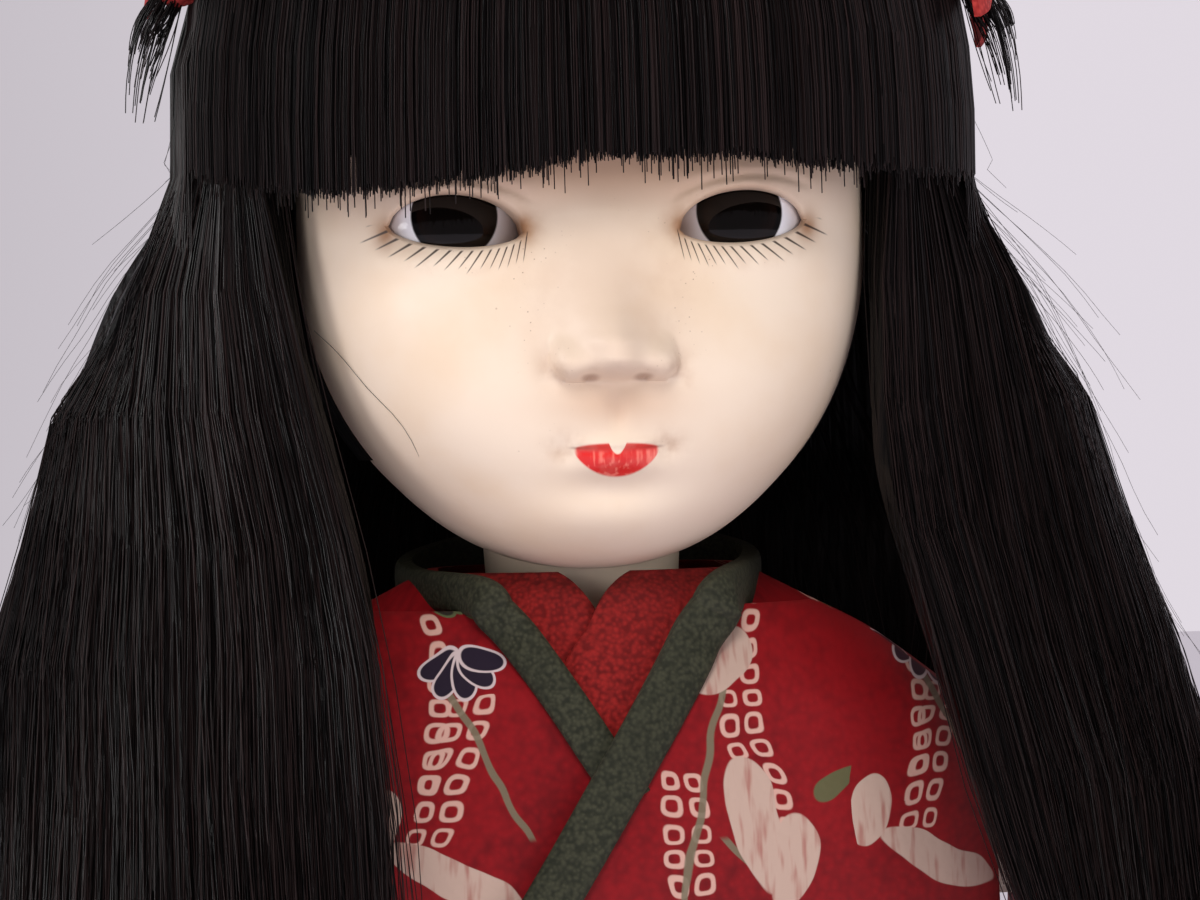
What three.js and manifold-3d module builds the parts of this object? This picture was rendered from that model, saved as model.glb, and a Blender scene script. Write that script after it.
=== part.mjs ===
// Ichimatsu doll: a dressed, standing child doll with a gofun-coated head, set glass eyes, a long wig,
// a crepe kimono under a broad sash, tabi and sandals, on a lacquered stand.
// Millimetres, +Z up. The face looks along -Y and the doll's own left side is +X.
import * as THREE from "three";
import { mergeVertices } from "three/addons/utils/BufferGeometryUtils.js";
import Module from "manifold-3d";

const wasm = await Module();
wasm.setup();

// Fits
const GAP = 0.3; // between two pieces that rest on each other
const CLOTH = 0.8; // one layer of lined crepe
const LAYER_GAP = 0.8; // between layers of cloth that follow a curve

// Stand
const STAND_WIDTH = 176;
const STAND_DEPTH = 140;
const STAND_THICKNESS = 20;
const STAND_CORNER = 16;
const STAND_STEP = 5; // width and height of the moulded step round the top
const POST_RADIUS = 3.5;
const POST_Y = 9;
const POST_SEAT = 12; // depth of the post in the board
const POST_REACH = 40; // depth of the post in the torso
const COLLAR_RADIUS = 8;
const COLLAR_HEIGHT = 6;

// Heights of the figure above the stand
const SANDAL_THICKNESS = 8;
const KNEE_HEIGHT = 98;
const HIP_HEIGHT = 158;
const OBI_BOTTOM = 190;
const OBI_HEIGHT = 46;
const SHOULDER_HEIGHT = 268; // arm pivots
const NECK_SEAT = 290; // top of the torso core
const CHIN_HEIGHT = 304;

// Feet and legs
const LEG_SPACING = 36;
const LEG_Y = -4;
const ANKLE_RADIUS = 6.5;
const CALF_RADIUS = 9.5;
const THIGH_RADIUS = 11.5;
const FOOT_LENGTH = 46;
const FOOT_WIDTH = 17;
const FOOT_HEIGHT = 12;
const CUFF_RISE = 15; // sock above the instep
const SANDAL_MARGIN = 2; // sole beyond the sock, all round
const THONG_RADIUS = 1.7;

// Torso and kimono
const TORSO_HALF_WIDTH = 31;
const TORSO_HALF_DEPTH = 18;
const BODY_HALF_WIDTH = 48.5; // dressed, at the shoulders
const WAIST_HALF_WIDTH = 39;
const CHEST_DEPTH = 24;
const WAIST_DEPTH = 26;
const BACK_DEPTH = 20;
const HEM_HALF_WIDTH = 45.5;
const HEM_DEPTH = 34;
const SKIRT_WALL = 1.6;
const HEM_ROLL = 2.6; // radius of the padded hem
const HEM_CLEARANCE = 1.2; // hem above the socks
const OVERLAP_EDGE = 24; // free edge of the over-flap beside the middle, at the hem
const OBI_THICKNESS = 4;
const BOW_HALF_WIDTH = 42;
const BOW_HEIGHT = 36;
const BOW_DEPTH = 15;
const TAIL_LENGTH = 66;
const NECK_RADIUS = 11.5;
const NECK_Y = 3;
const PEG_RADIUS = 5;
const PEG_LENGTH = 52;
const COLLAR_BAND = 6.6; // width of the green collar
const COLLAR_THICKNESS = 1.5;

// Arms and sleeves
const ARM_X = 50; // plane where the sleeve meets the body
const SHOULDER_RADIUS = 5.5;
const ARM_OUT = 9; // arm axis beyond that plane
const ELBOW_DROP = 36;
const FOREARM_REACH = 27; // wrist in front of the elbow
const FOREARM_DROP = 26; // wrist below the elbow
const UPPER_ARM_RADIUS = 5.8;
const FOREARM_RADIUS = 5;
const WRIST_RADIUS = 3.9;
const HAND_LENGTH = 25;
const SLEEVE_DROP = 186; // pivot to the foot of the sleeve
const SLEEVE_HALF_DEPTH = 32;
const SLEEVE_HALF_THICKNESS = 10;
const SLEEVE_FLARE = 20; // back edge beyond the front edge, low down
const CUFF_RADIUS = 6.8;

// Head, measured from the chin
const HEAD_HALF_WIDTH = 33.5;
const HEAD_HEIGHT = 88;
const HEAD_WIDEST = 37; // height of the widest section
const FACE_DEPTH = 32;
const SKULL_DEPTH = 36;
const HEAD_WALL = 6;
const HEAD_SPLIT_Y = 4; // plane where the front and back mouldings meet
const EYE_X = 16;
const EYE_Z = 37.4;
const EYE_HALF_WIDTH = 7.3;
const EYE_UPPER = 3.9;
const EYE_LOWER = 2;
const EYE_TILT = THREE.MathUtils.degToRad(4.8);
const EYEBALL_RADIUS = 9;
const EYE_INSET = 1.2; // glass behind the lids
const IRIS_RADIUS = 4.9;
const IRIS_RISE = 1.6;
const IRIS_THICKNESS = 0.6;

// Wig
const HAIR_RIM = 46; // height where the cap ends and the hanging hair begins
const HAIR_TOP = 96;
const HAIR_HALF_WIDTH = 46;
const HAIR_FRONT = 34.6;
const HAIR_BACK = 45;
const FRINGE_THICKNESS = 4.6;
const FRINGE_BOTTOM = 43.2;
const FRINGE_TURN = THREE.MathUtils.degToRad(74); // each side of the front
const LOCK_LENGTH = 87;
const LOCK_THICKNESS = 12;
const LOCK_SPREAD = 73; // half-width of the hair at the tips
const BACK_HAIR_THICKNESS = 8;
const TUFT_LENGTH = 17;
const RIBBON_WIDTH = 9;

// Faces round each kind of section, and the smallest step kept after a cut
const FACET = 0.02;
const ROUND_SIDES = 10;
const BODY_SIDES = 24;
const SKIRT_SIDES = 28;
const FACE_SIDES = 32; // columns over the face
const BACK_SIDES = 10;

const GOFUN = finish(0xeddccb, 0.45);
const WHITE_GLASS = finish(0xe6e2e6, 0.12);
const DARK_GLASS = finish(0x0c0708, 0.06);
const HAIR = finish(0x120d0e, 0.4);
const RED_CREPE = finish(0xa8201f, 0.85);
const GREEN_CREPE = finish(0x37392b, 0.9);
const KIMONO = finish(0x8f1518, 0.75);
const BROCADE = finish(0xb98f45, 0.6);
const COTTON = finish(0xe9e4da, 0.9);
const COMPOSITION = finish(0xc9b396, 0.8);
const LINING = finish(0xc23a34, 0.8);
const LACQUER = finish(0x0d0b0b, 0.18);
const WOOD = finish(0xb08a5a, 0.7);
const BRASS = finish(0xb48a3c, 0.35, 1);
const STRAW = finish(0xb3202a, 0.5);

function finish(color, roughness, metalness = 0) {
  return new THREE.MeshStandardMaterial({ color, roughness, metalness });
}

const vec = (x, y, z) => new THREE.Vector3(x, y, z);
const { clamp, lerp, smoothstep } = THREE.MathUtils;
const bell = (distance, width) => Math.exp(-0.5 * (distance / width) ** 2);
const rounded = (t, power) => Math.max(0, 1 - Math.abs(t) ** power) ** (1 / power);

// A smooth curve through [position, value] pairs that never overshoots them.
function through(...pairs) {
  const at = pairs.map((p) => p[0]);
  const value = pairs.map((p) => p[1]);
  const rise = at.slice(1).map((x, i) => (value[i + 1] - value[i]) / (x - at[i]));
  const slope = value.map((_, i) => {
    const [before, after] = [rise[i - 1] ?? rise[i], rise[i] ?? rise[i - 1]];
    return before * after <= 0 ? 0 : (2 * before * after) / (before + after);
  });
  return (x) => {
    const s = clamp(x, at[0], at[at.length - 1]);
    const i = Math.max(0, at.findIndex((p, k) => k > 0 && s <= p) - 1);
    const step = at[i + 1] - at[i];
    const t = (s - at[i]) / step;
    const [h0, h1] = [(1 + 2 * t) * (1 - t) ** 2, t * (1 - t) ** 2];
    const [h2, h3] = [t * t * (3 - 2 * t), t * t * (t - 1)];
    return h0 * value[i] + h1 * step * slope[i] + h2 * value[i + 1] + h3 * step * slope[i + 1];
  };
}

// Evenly spaced numbers from one end to the other, both included.
const steps = (from, to, count) => Array.from({ length: count + 1 }, (_, i) => lerp(from, to, i / count));

// A closed body from vertices and triangles, turned so that its faces point out.
function closed(points, triangles) {
  let volume = 0;
  for (const [a, b, c] of triangles) volume += points[a].dot(points[b].clone().cross(points[c]));
  const order = volume < 0 ? triangles.map(([a, b, c]) => [a, c, b]) : triangles;
  return new THREE.BufferGeometry().setFromPoints(points).setIndex(order.flat());
}

// A body through a stack of rings with as many points each, closed by a fan at both ends.
function loft(rings) {
  const sides = rings[0].length;
  const points = rings.flat();
  const triangles = [];
  for (let r = 0; r + 1 < rings.length; r++) {
    for (let i = 0; i < sides; i++) {
      const [a, b] = [r * sides + i, r * sides + ((i + 1) % sides)];
      triangles.push([a, b, a + sides], [b, b + sides, a + sides]);
    }
  }
  for (const [ring, first] of [[rings[0], 0], [rings[rings.length - 1], points.length - sides]]) {
    const centre = points.length;
    points.push(ring.reduce((sum, p) => sum.add(p), vec(0, 0, 0)).divideScalar(sides));
    for (let i = 0; i < sides; i++) {
      const [a, b] = [first + i, first + ((i + 1) % sides)];
      triangles.push(first === 0 ? [b, a, centre] : [a, b, centre]);
    }
  }
  return closed(points, triangles);
}

// A sheet with thickness between two surfaces of (u, v), both from 0 to 1, closed round its edge.
function slab(outer, inner, columns, rows) {
  const points = [];
  for (const surface of [outer, inner]) {
    for (let j = 0; j <= rows; j++) {
      for (let i = 0; i <= columns; i++) points.push(surface(i / columns, j / rows));
    }
  }
  const half = (columns + 1) * (rows + 1);
  const at = (i, j) => j * (columns + 1) + i;
  const triangles = [];
  for (let j = 0; j < rows; j++) {
    for (let i = 0; i < columns; i++) {
      const [a, b, c, d] = [at(i, j), at(i + 1, j), at(i + 1, j + 1), at(i, j + 1)];
      triangles.push([a, b, c], [a, c, d], [half + a, half + c, half + b], [half + a, half + d, half + c]);
    }
  }
  const rim = [];
  for (let i = 0; i < columns; i++) rim.push(at(i, 0));
  for (let j = 0; j < rows; j++) rim.push(at(columns, j));
  for (let i = columns; i > 0; i--) rim.push(at(i, rows));
  for (let j = rows; j > 0; j--) rim.push(at(0, j));
  rim.forEach((a, k) => {
    const b = rim[(k + 1) % rim.length];
    triangles.push([b, a, half + a], [b, half + a, half + b]);
  });
  return closed(points, triangles);
}

// A tapering tube along a smooth path; radius(t) is its radius at t from 0 to 1.
function tube(path, radius, rows, sides, flatness = 1) {
  const curve = new THREE.CatmullRomCurve3(path);
  const frames = curve.computeFrenetFrames(rows);
  return loft(
    steps(0, 1, rows).map((t, i) => {
      const centre = curve.getPoint(t);
      return steps(0, 2 * Math.PI, sides).slice(0, sides).map((turn) =>
        centre.clone()
          .addScaledVector(frames.normals[i], radius(t) * Math.cos(turn))
          .addScaledVector(frames.binormals[i], radius(t) * flatness * Math.sin(turn)));
    }),
  );
}

// A level ring of a superellipse with its own front and back depth.
function oval(z, halfWidth, front, back, power, sides, x = 0, y = 0) {
  return steps(0, 2 * Math.PI, sides).slice(0, sides).map((turn) => {
    const [s, c] = [Math.sin(turn), -Math.cos(turn)];
    const depth = c < 0 ? front : back;
    const reach = (Math.abs(s / halfWidth) ** power + Math.abs(c / depth) ** power) ** (-1 / power);
    return vec(x + reach * s, y + reach * c, z);
  });
}

const column = (x, y, bottom, top, radius, sides = ROUND_SIDES) =>
  loft([bottom, top].map((z) => oval(z, radius, radius, radius, 2, sides, x, y)));

function solid(geometry) {
  const bare = geometry.clone();
  bare.deleteAttribute("normal");
  bare.deleteAttribute("uv");
  const merged = mergeVertices(bare, 1e-4);
  return new wasm.Manifold(
    new wasm.Mesh({
      numProp: 3,
      vertProperties: merged.attributes.position.array,
      triVerts: new Uint32Array(merged.index.array),
    }),
  );
}

function geometryOf(body) {
  const mesh = body.simplify(FACET).getMesh();
  return new THREE.BufferGeometry()
    .setAttribute("position", new THREE.BufferAttribute(mesh.vertProperties, 3))
    .setIndex(new THREE.BufferAttribute(mesh.triVerts, 1));
}

const cut = (piece, ...tools) => geometryOf(tools.reduce((body, t) => body.subtract(solid(t)), solid(piece)));
const join = (...pieces) => geometryOf(pieces.slice(1).reduce((body, p) => body.add(solid(p)), solid(pieces[0])));
const box = (low, high) =>
  new THREE.BoxGeometry(high.x - low.x, high.y - low.y, high.z - low.z).translate(
    (low.x + high.x) / 2, (low.y + high.y) / 2, (low.z + high.z) / 2);

function add(group, name, geometry, material) {
  const mesh = new THREE.Mesh(geometry, material);
  mesh.name = name;
  group.add(mesh);
}

const SIDES = [["left", 1], ["right", -1]];
const FAR = 500; // beyond every piece

// Stand

const postTop = HIP_HEIGHT + POST_REACH;

function roundedBoard(width, depth, corner, bottom, height) {
  const [w, d] = [width / 2 - corner, depth / 2 - corner];
  const shape = new THREE.Shape();
  shape.absarc(w, d, corner, 0, Math.PI / 2);
  shape.absarc(-w, d, corner, Math.PI / 2, Math.PI);
  shape.absarc(-w, -d, corner, Math.PI, 1.5 * Math.PI);
  shape.absarc(w, -d, corner, 1.5 * Math.PI, 2 * Math.PI);
  return new THREE.ExtrudeGeometry(shape, { depth: height, bevelEnabled: false, curveSegments: 5 })
    .translate(0, 0, bottom);
}

function buildStand(group) {
  const lower = roundedBoard(STAND_WIDTH, STAND_DEPTH, STAND_CORNER, 0, STAND_THICKNESS - STAND_STEP);
  const upper = roundedBoard(STAND_WIDTH - 2 * STAND_STEP, STAND_DEPTH - 2 * STAND_STEP,
    STAND_CORNER - STAND_STEP, STAND_THICKNESS - 2 * STAND_STEP, 2 * STAND_STEP);
  const seat = column(0, POST_Y, STAND_THICKNESS - POST_SEAT - GAP, FAR, POST_RADIUS + GAP);
  add(group, "stand_board", cut(join(lower, upper), seat), LACQUER);
  add(group, "stand_post",
    column(0, POST_Y, STAND_THICKNESS - POST_SEAT, STAND_THICKNESS + postTop, POST_RADIUS), WOOD);
  const collarBase = STAND_THICKNESS + GAP;
  const collar = loft([
    oval(collarBase, COLLAR_RADIUS, COLLAR_RADIUS, COLLAR_RADIUS, 2, ROUND_SIDES, 0, POST_Y),
    oval(collarBase + COLLAR_HEIGHT / 3, COLLAR_RADIUS, COLLAR_RADIUS, COLLAR_RADIUS, 2, ROUND_SIDES, 0, POST_Y),
    oval(collarBase + COLLAR_HEIGHT, POST_RADIUS + 1.5, POST_RADIUS + 1.5, POST_RADIUS + 1.5, 2, ROUND_SIDES,
      0, POST_Y),
  ]);
  add(group, "post_collar", cut(collar, column(0, POST_Y, 0, FAR, POST_RADIUS + GAP)), BRASS);
}

// Legs, socks and sandals

const soleTop = SANDAL_THICKNESS + GAP;
const heelY = LEG_Y + 10;
const toeY = heelY - FOOT_LENGTH;
const ankleHeight = soleTop + FOOT_HEIGHT + CUFF_RISE;
const hemBottom = soleTop + FOOT_HEIGHT * 0.8 + THONG_RADIUS + HEM_CLEARANCE;
const hemHeight = hemBottom + 2 * HEM_ROLL + GAP;

function legPiece(x, bottom, top, radiusAt) {
  return loft(steps(bottom, top, 4).map((z) => {
    const radius = radiusAt(z);
    return oval(z, radius, radius, radius, 2, ROUND_SIDES, x, LEG_Y);
  }));
}

const shinFoot = soleTop + FOOT_HEIGHT / 2;
const shinRadius = through([shinFoot, ANKLE_RADIUS], [ankleHeight, ANKLE_RADIUS],
  [lerp(ankleHeight, KNEE_HEIGHT, 0.6), CALF_RADIUS], [KNEE_HEIGHT, CALF_RADIUS * 0.92]);
const thighRadius = through([KNEE_HEIGHT, CALF_RADIUS], [lerp(KNEE_HEIGHT, HIP_HEIGHT, 0.55), THIGH_RADIUS],
  [HIP_HEIGHT, THIGH_RADIUS * 0.86]);

// A section of the foot across its length, flatter where it stands on the sole.
function footRing(y, x, halfWidth, height) {
  return steps(0, 2 * Math.PI, ROUND_SIDES).slice(0, ROUND_SIDES).map((turn) => {
    const rise = Math.sin(turn) > 0 ? height * 0.72 : height * 0.28;
    return vec(x + halfWidth * Math.cos(turn), y, soleTop + height * 0.28 + rise * Math.sin(turn));
  });
}

// One arm of the sandal's thong, from between the toes to the edge of the sole.
function thongArm(x, side, radius) {
  const front = lerp(heelY, toeY, 0.74);
  const path = [vec(x, front, soleTop + GAP), vec(x, front, soleTop + FOOT_HEIGHT * 0.8),
    vec(x + side * FOOT_WIDTH * 0.36, lerp(heelY, toeY, 0.56), soleTop + FOOT_HEIGHT * 0.72),
    vec(x + side * FOOT_WIDTH * 0.5, lerp(heelY, toeY, 0.36), soleTop + THONG_RADIUS + GAP)];
  return tube(path, () => radius, 6, 5);
}

function buildLeg(group, name, side) {
  const x = (side * LEG_SPACING) / 2;
  add(group, `${name}_thigh`, legPiece(x, KNEE_HEIGHT, HIP_HEIGHT - GAP, thighRadius), COTTON);
  add(group, `${name}_leg`, legPiece(x, shinFoot, KNEE_HEIGHT - GAP, shinRadius), GOFUN);

  const width = through([0, 0.3], [0.08, 0.6], [0.3, 0.86], [0.72, 1], [0.93, 0.75], [1, 0.3]);
  const height = through([0, 0.5], [0.1, 1], [0.35, 1.05], [0.72, 0.72], [0.95, 0.5], [1, 0.3]);
  const foot = loft(steps(0, 1, 8).map((t) =>
    footRing(lerp(heelY, toeY, t), x, (width(t) * FOOT_WIDTH) / 2, height(t) * FOOT_HEIGHT)));
  const cuff = loft([shinFoot, lerp(shinFoot, ankleHeight, 0.6), ankleHeight].map((z, i) => {
    const radius = ANKLE_RADIUS + GAP + CLOTH + [1.2, 0.4, 0.6][i];
    return oval(z, radius, radius, radius, 2, ROUND_SIDES, x, LEG_Y);
  }));
  const legRoom = column(x, LEG_Y, shinFoot - GAP, ankleHeight + 1, ANKLE_RADIUS + GAP);
  const split = x - side * FOOT_WIDTH * 0.2;
  const toeSplit = box(vec(split - 0.5, toeY - 1, soleTop + 2), vec(split + 0.5, lerp(heelY, toeY, 0.76), FAR));
  const straps = [1, -1].map((s) => thongArm(x, s, THONG_RADIUS + GAP));
  add(group, `${name}_tabi`, cut(join(foot, cuff), legRoom, toeSplit, ...straps), COTTON);
  add(group, `${name}_thong`, join(...[1, -1].map((s) => thongArm(x, s, THONG_RADIUS))), RED_CREPE);

  const sole = new THREE.Shape();
  const outX = FOOT_WIDTH / 2 + SANDAL_MARGIN;
  const heelRadius = outX * 0.9;
  sole.absarc(x, heelY + SANDAL_MARGIN - heelRadius, heelRadius, 0, Math.PI);
  sole.absarc(x, toeY - SANDAL_MARGIN + outX, outX, Math.PI, 2 * Math.PI);
  add(group, `${name}_zori`,
    new THREE.ExtrudeGeometry(sole, { depth: SANDAL_THICKNESS, bevelEnabled: false, curveSegments: 8 }), STRAW);
}

// The torso core and the dressed body round it

const torsoWaist = lerp(HIP_HEIGHT, NECK_SEAT, 0.42);
const torsoWidth = through([HIP_HEIGHT, TORSO_HALF_WIDTH * 0.95], [torsoWaist, TORSO_HALF_WIDTH * 0.88],
  [SHOULDER_HEIGHT, TORSO_HALF_WIDTH], [NECK_SEAT, NECK_RADIUS + 4]);
const torsoDepth = through([HIP_HEIGHT, TORSO_HALF_DEPTH * 1.1], [torsoWaist, TORSO_HALF_DEPTH * 0.95],
  [SHOULDER_HEIGHT, TORSO_HALF_DEPTH * 0.8], [NECK_SEAT, NECK_RADIUS + 1]);

function torsoForm(grow) {
  return loft(steps(HIP_HEIGHT, NECK_SEAT, 6).map((level, i) => {
    const depth = torsoDepth(level) + grow;
    const z = level + (i === 0 ? -grow : 0) + (i === 6 ? grow : 0);
    return oval(z, torsoWidth(level) + grow, depth, depth, 2.4, 16);
  }));
}

const waistHeight = OBI_BOTTOM + OBI_HEIGHT / 2;
const obiTop = OBI_BOTTOM + OBI_HEIGHT;
const bodyBottom = OBI_BOTTOM - 2;
const shoulderTop = CHIN_HEIGHT - 1;
const bodyWidth = through([bodyBottom, WAIST_HALF_WIDTH + 2], [waistHeight, WAIST_HALF_WIDTH],
  [obiTop, WAIST_HALF_WIDTH + 3], [SHOULDER_HEIGHT - 6, BODY_HALF_WIDTH],
  [SHOULDER_HEIGHT + 8, BODY_HALF_WIDTH * 0.985], [lerp(SHOULDER_HEIGHT, shoulderTop, 0.5), BODY_HALF_WIDTH * 0.92],
  [lerp(SHOULDER_HEIGHT, shoulderTop, 0.75), BODY_HALF_WIDTH * 0.72],
  [lerp(SHOULDER_HEIGHT, shoulderTop, 0.9), BODY_HALF_WIDTH * 0.52], [shoulderTop, NECK_RADIUS + 7]);
const bodyFront = through([bodyBottom, WAIST_DEPTH + 2], [waistHeight, WAIST_DEPTH], [obiTop, WAIST_DEPTH],
  [SHOULDER_HEIGHT, CHEST_DEPTH], [lerp(SHOULDER_HEIGHT, shoulderTop, 0.5), CHEST_DEPTH * 0.84],
  [shoulderTop, NECK_RADIUS + 2]);
const bodyBack = through([bodyBottom, BACK_DEPTH + 4], [waistHeight, BACK_DEPTH + 2], [obiTop, BACK_DEPTH + 1],
  [SHOULDER_HEIGHT, BACK_DEPTH], [shoulderTop, NECK_RADIUS + 4.5]);
const BODY_POWER = 2.3;

const bodyRing = (z, grow) =>
  oval(z, bodyWidth(z) + grow, bodyFront(z) + grow, bodyBack(z) + grow, BODY_POWER, BODY_SIDES);

// A point on the front of the dressed body, raised off the cloth.
function chest(x, z, raise) {
  const t = clamp(x / (bodyWidth(z) + raise), -0.999, 0.999);
  return vec(x, -(bodyFront(z) + raise) * rounded(t, BODY_POWER), z);
}

// The line of the left collar down the front: it leaves the neck at its side and crosses below the throat.
const collarTop = shoulderTop - 3;
const crossing = CHIN_HEIGHT - 25.5;
const collarSlope = (NECK_RADIUS + 4.5) / (collarTop - crossing);
const collarLine = (z) => (z - crossing) * collarSlope;

// A layer of cloth on the front of the body between two lines, from one height to another.
function frontLayer(low, high, fromLine, toLine, raise, thickness, columns, rows) {
  const at = (lift) => (u, v) => {
    const z = lerp(low, high, v);
    return chest(lerp(fromLine(z), toLine(z), u), z, lift);
  };
  return slab(at(raise + thickness), at(raise), columns, rows);
}

// The right panel and collars lie below the left ones, as a kimono is always folded.
function buildFront(group) {
  const layerA = LAYER_GAP;
  const layerB = layerA + CLOTH + LAYER_GAP;
  const layerC = layerB + CLOTH + LAYER_GAP;
  const low = obiTop + GAP;
  const throat = CHIN_HEIGHT - 4;
  const half = COLLAR_BAND / 2;
  const sideLine = (z) => bodyWidth(z) * 0.9;
  const panelTop = collarTop - 7;
  add(group, "kimono_front_right", frontLayer(low, panelTop, (z) => -sideLine(z),
    (z) => -collarLine(z) - GAP, layerA, CLOTH, 9, 6), KIMONO);
  add(group, "kimono_front_left", frontLayer(low, panelTop, (z) => collarLine(z) + GAP,
    sideLine, layerB, CLOTH, 9, 6), KIMONO);

  const underLow = crossing + COLLAR_BAND;
  const fold = (z) => (z - throat) * 0.75; // free edge of the upper under-collar
  add(group, "under_collar_right", frontLayer(underLow, throat, (z) => -collarLine(z) + GAP,
    (z) => collarLine(z) * 0.5, layerA, CLOTH, 4, 4), RED_CREPE);
  add(group, "under_collar_left", frontLayer(underLow + half, throat,
    (z) => Math.max(fold(z), -collarLine(z) + half * 1.4 + GAP), (z) => collarLine(z) - GAP,
    layerB, CLOTH, 4, 4), RED_CREPE);
  add(group, "date_collar_right", frontLayer(crossing + 1.5, collarTop, (z) => -collarLine(z) - half * 1.3,
    (z) => Math.min(-collarLine(z) + half * 1.3, collarLine(z) - GAP), layerB, CLOTH, 2, 7), GREEN_CREPE);
  add(group, "date_collar_left", frontLayer(low, collarTop, (z) => collarLine(z) - half * 1.3,
    (z) => collarLine(z) + half * 1.3, layerC, COLLAR_THICKNESS, 3, 8), GREEN_CREPE);
}

// The bow at the back: a knot, two folded loops and two tails.
function buildBow(group) {
  const knotReach = BOW_HEIGHT * 0.3;
  const middle = bodyBack(waistHeight) + OBI_THICKNESS + 2 * GAP + BOW_DEPTH / 2;
  const tailY = Math.max(bodyBack(OBI_BOTTOM) + OBI_THICKNESS, skirtBack(hemHeight)) + 2 * CLOTH;
  const knotHalf = BOW_HALF_WIDTH * 0.17;
  const rowOf = (x, halfHeight, halfDepth) => steps(0, 2 * Math.PI, 12).slice(0, 12).map((turn) => {
    const [s, c] = [Math.sin(turn), Math.cos(turn)];
    const reach = (Math.abs(s) ** 3 + Math.abs(c) ** 3) ** (-1 / 3);
    return vec(x, middle + reach * c * halfDepth, waistHeight + reach * s * halfHeight);
  });
  const knot = loft([[-1, 0.82], [-0.6, 1], [0.6, 1], [1, 0.82]].map(([t, k]) =>
    rowOf(t * knotHalf, knotReach * k, (BOW_DEPTH / 2) * k)));
  add(group, "bow_knot", knot, BROCADE);
  for (const [name, side] of SIDES) {
    const span = through([0, 0.5], [0.25, 0.72], [0.6, 1], [0.92, 0.97], [1, 0.86]);
    const swell = through([0, 0.45], [0.4, 0.92], [0.8, 0.9], [1, 0.5]);
    const start = knotHalf + GAP;
    const loop = loft(steps(0, 1, 6).map((t) =>
      rowOf(side * lerp(start, BOW_HALF_WIDTH, t), (BOW_HEIGHT / 2) * span(t), (BOW_DEPTH / 2) * swell(t))));
    const [near, far] = [lerp(start, BOW_HALF_WIDTH, 0.3), lerp(start, BOW_HALF_WIDTH, 0.88)];
    const fold = box(vec(Math.min(side * near, side * far), middle - BOW_DEPTH * 0.14, 0),
      vec(Math.max(side * near, side * far), middle + BOW_DEPTH * 0.14, FAR));
    add(group, `bow_loop_${name}`, cut(loop, fold), BROCADE);

    const top = waistHeight - knotReach - GAP;
    const tail = (lift) => (u, v) => vec(side * lerp(1, BOW_HALF_WIDTH * lerp(0.3, 0.52, v), u),
      tailY + lift + 0.7 * Math.sin(3 * Math.PI * u) * v, top - v * TAIL_LENGTH);
    add(group, `bow_tail_${name}`, slab(tail(2 * CLOTH), tail(0), 4, 4), BROCADE);
  }
}

// Skirt of the kimono: a wrapped column with soft folds that deepen towards the hem

const skirtTop = bodyBottom - GAP;
const skirtWidth = through([hemBottom, HEM_HALF_WIDTH], [lerp(hemHeight, skirtTop, 0.35), HEM_HALF_WIDTH - 1],
  [lerp(hemHeight, skirtTop, 0.75), HEM_HALF_WIDTH], [skirtTop, WAIST_HALF_WIDTH + 2]);
const skirtFront = through([hemBottom, HEM_DEPTH], [lerp(hemHeight, skirtTop, 0.6), lerp(HEM_DEPTH, WAIST_DEPTH, 0.4)],
  [skirtTop, WAIST_DEPTH + 2]);
const skirtBack = through([hemBottom, HEM_DEPTH * 0.86], [lerp(hemHeight, skirtTop, 0.7), BACK_DEPTH + 7],
  [skirtTop, BACK_DEPTH + 4]);

function skirtPoint(turn, z, grow) {
  const [s, c] = [Math.sin(turn), -Math.cos(turn)];
  const depth = c < 0 ? skirtFront(z) : skirtBack(z);
  const reach = (Math.abs(s / skirtWidth(z)) ** BODY_POWER + Math.abs(c / depth) ** BODY_POWER) ** (-1 / BODY_POWER);
  const fall = smoothstep(skirtTop - z, 20, skirtTop - hemBottom);
  const fold = 0.9 * fall * Math.cos(9 * turn + 0.8) * (0.35 + 0.65 * s * s);
  return vec((reach + grow + fold) * s, (reach + grow + fold) * c, z);
}

const skirtRing = (z, grow) =>
  steps(0, 2 * Math.PI, SKIRT_SIDES).slice(0, SKIRT_SIDES).map((turn) => skirtPoint(turn, z, grow));

function buildSkirt(group) {
  const stack = (low, high, count, grow) => loft(steps(low, high, count).map((z) => skirtRing(z, grow)));
  const padTop = HIP_HEIGHT - 2;
  const room = stack(hemBottom - 10, HIP_HEIGHT, 4, -SKIRT_WALL);
  add(group, "kimono_skirt", cut(stack(hemHeight, skirtTop, 6, 0), room, torsoForm(GAP)), KIMONO);

  const channels = SIDES.map(([, side]) =>
    column((side * LEG_SPACING) / 2, LEG_Y, 0, FAR, THIGH_RADIUS + 2 * GAP));
  const postRoom = column(0, POST_Y, 0, FAR, POST_RADIUS + 2 * GAP);
  const padding = stack(hemBottom + GAP, padTop, 4, -SKIRT_WALL - 2 * GAP);
  add(group, "under_skirt", cut(padding, ...channels, postRoom), COTTON);

  const roll = loft(steps(-1, 1, 3).map((t) =>
    skirtRing(hemBottom + HEM_ROLL * (1 + t), HEM_ROLL * 0.5 * rounded(t * 0.96, 2))));
  add(group, "hem_roll", cut(roll, stack(hemBottom - 10, hemHeight + 10, 2, -SKIRT_WALL)), LINING);

  const overlap = (lift) => (u, v) => {
    const z = lerp(hemHeight, skirtTop, v);
    const edge = -Math.asin(clamp((OVERLAP_EDGE * lerp(1, 0.55, v)) / HEM_HALF_WIDTH, 0, 1));
    return skirtPoint(lerp(edge, Math.PI * 0.46, u), z, lift);
  };
  add(group, "skirt_overlap", slab(overlap(LAYER_GAP + CLOTH), overlap(LAYER_GAP), 12, 5), KIMONO);
}

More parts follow.
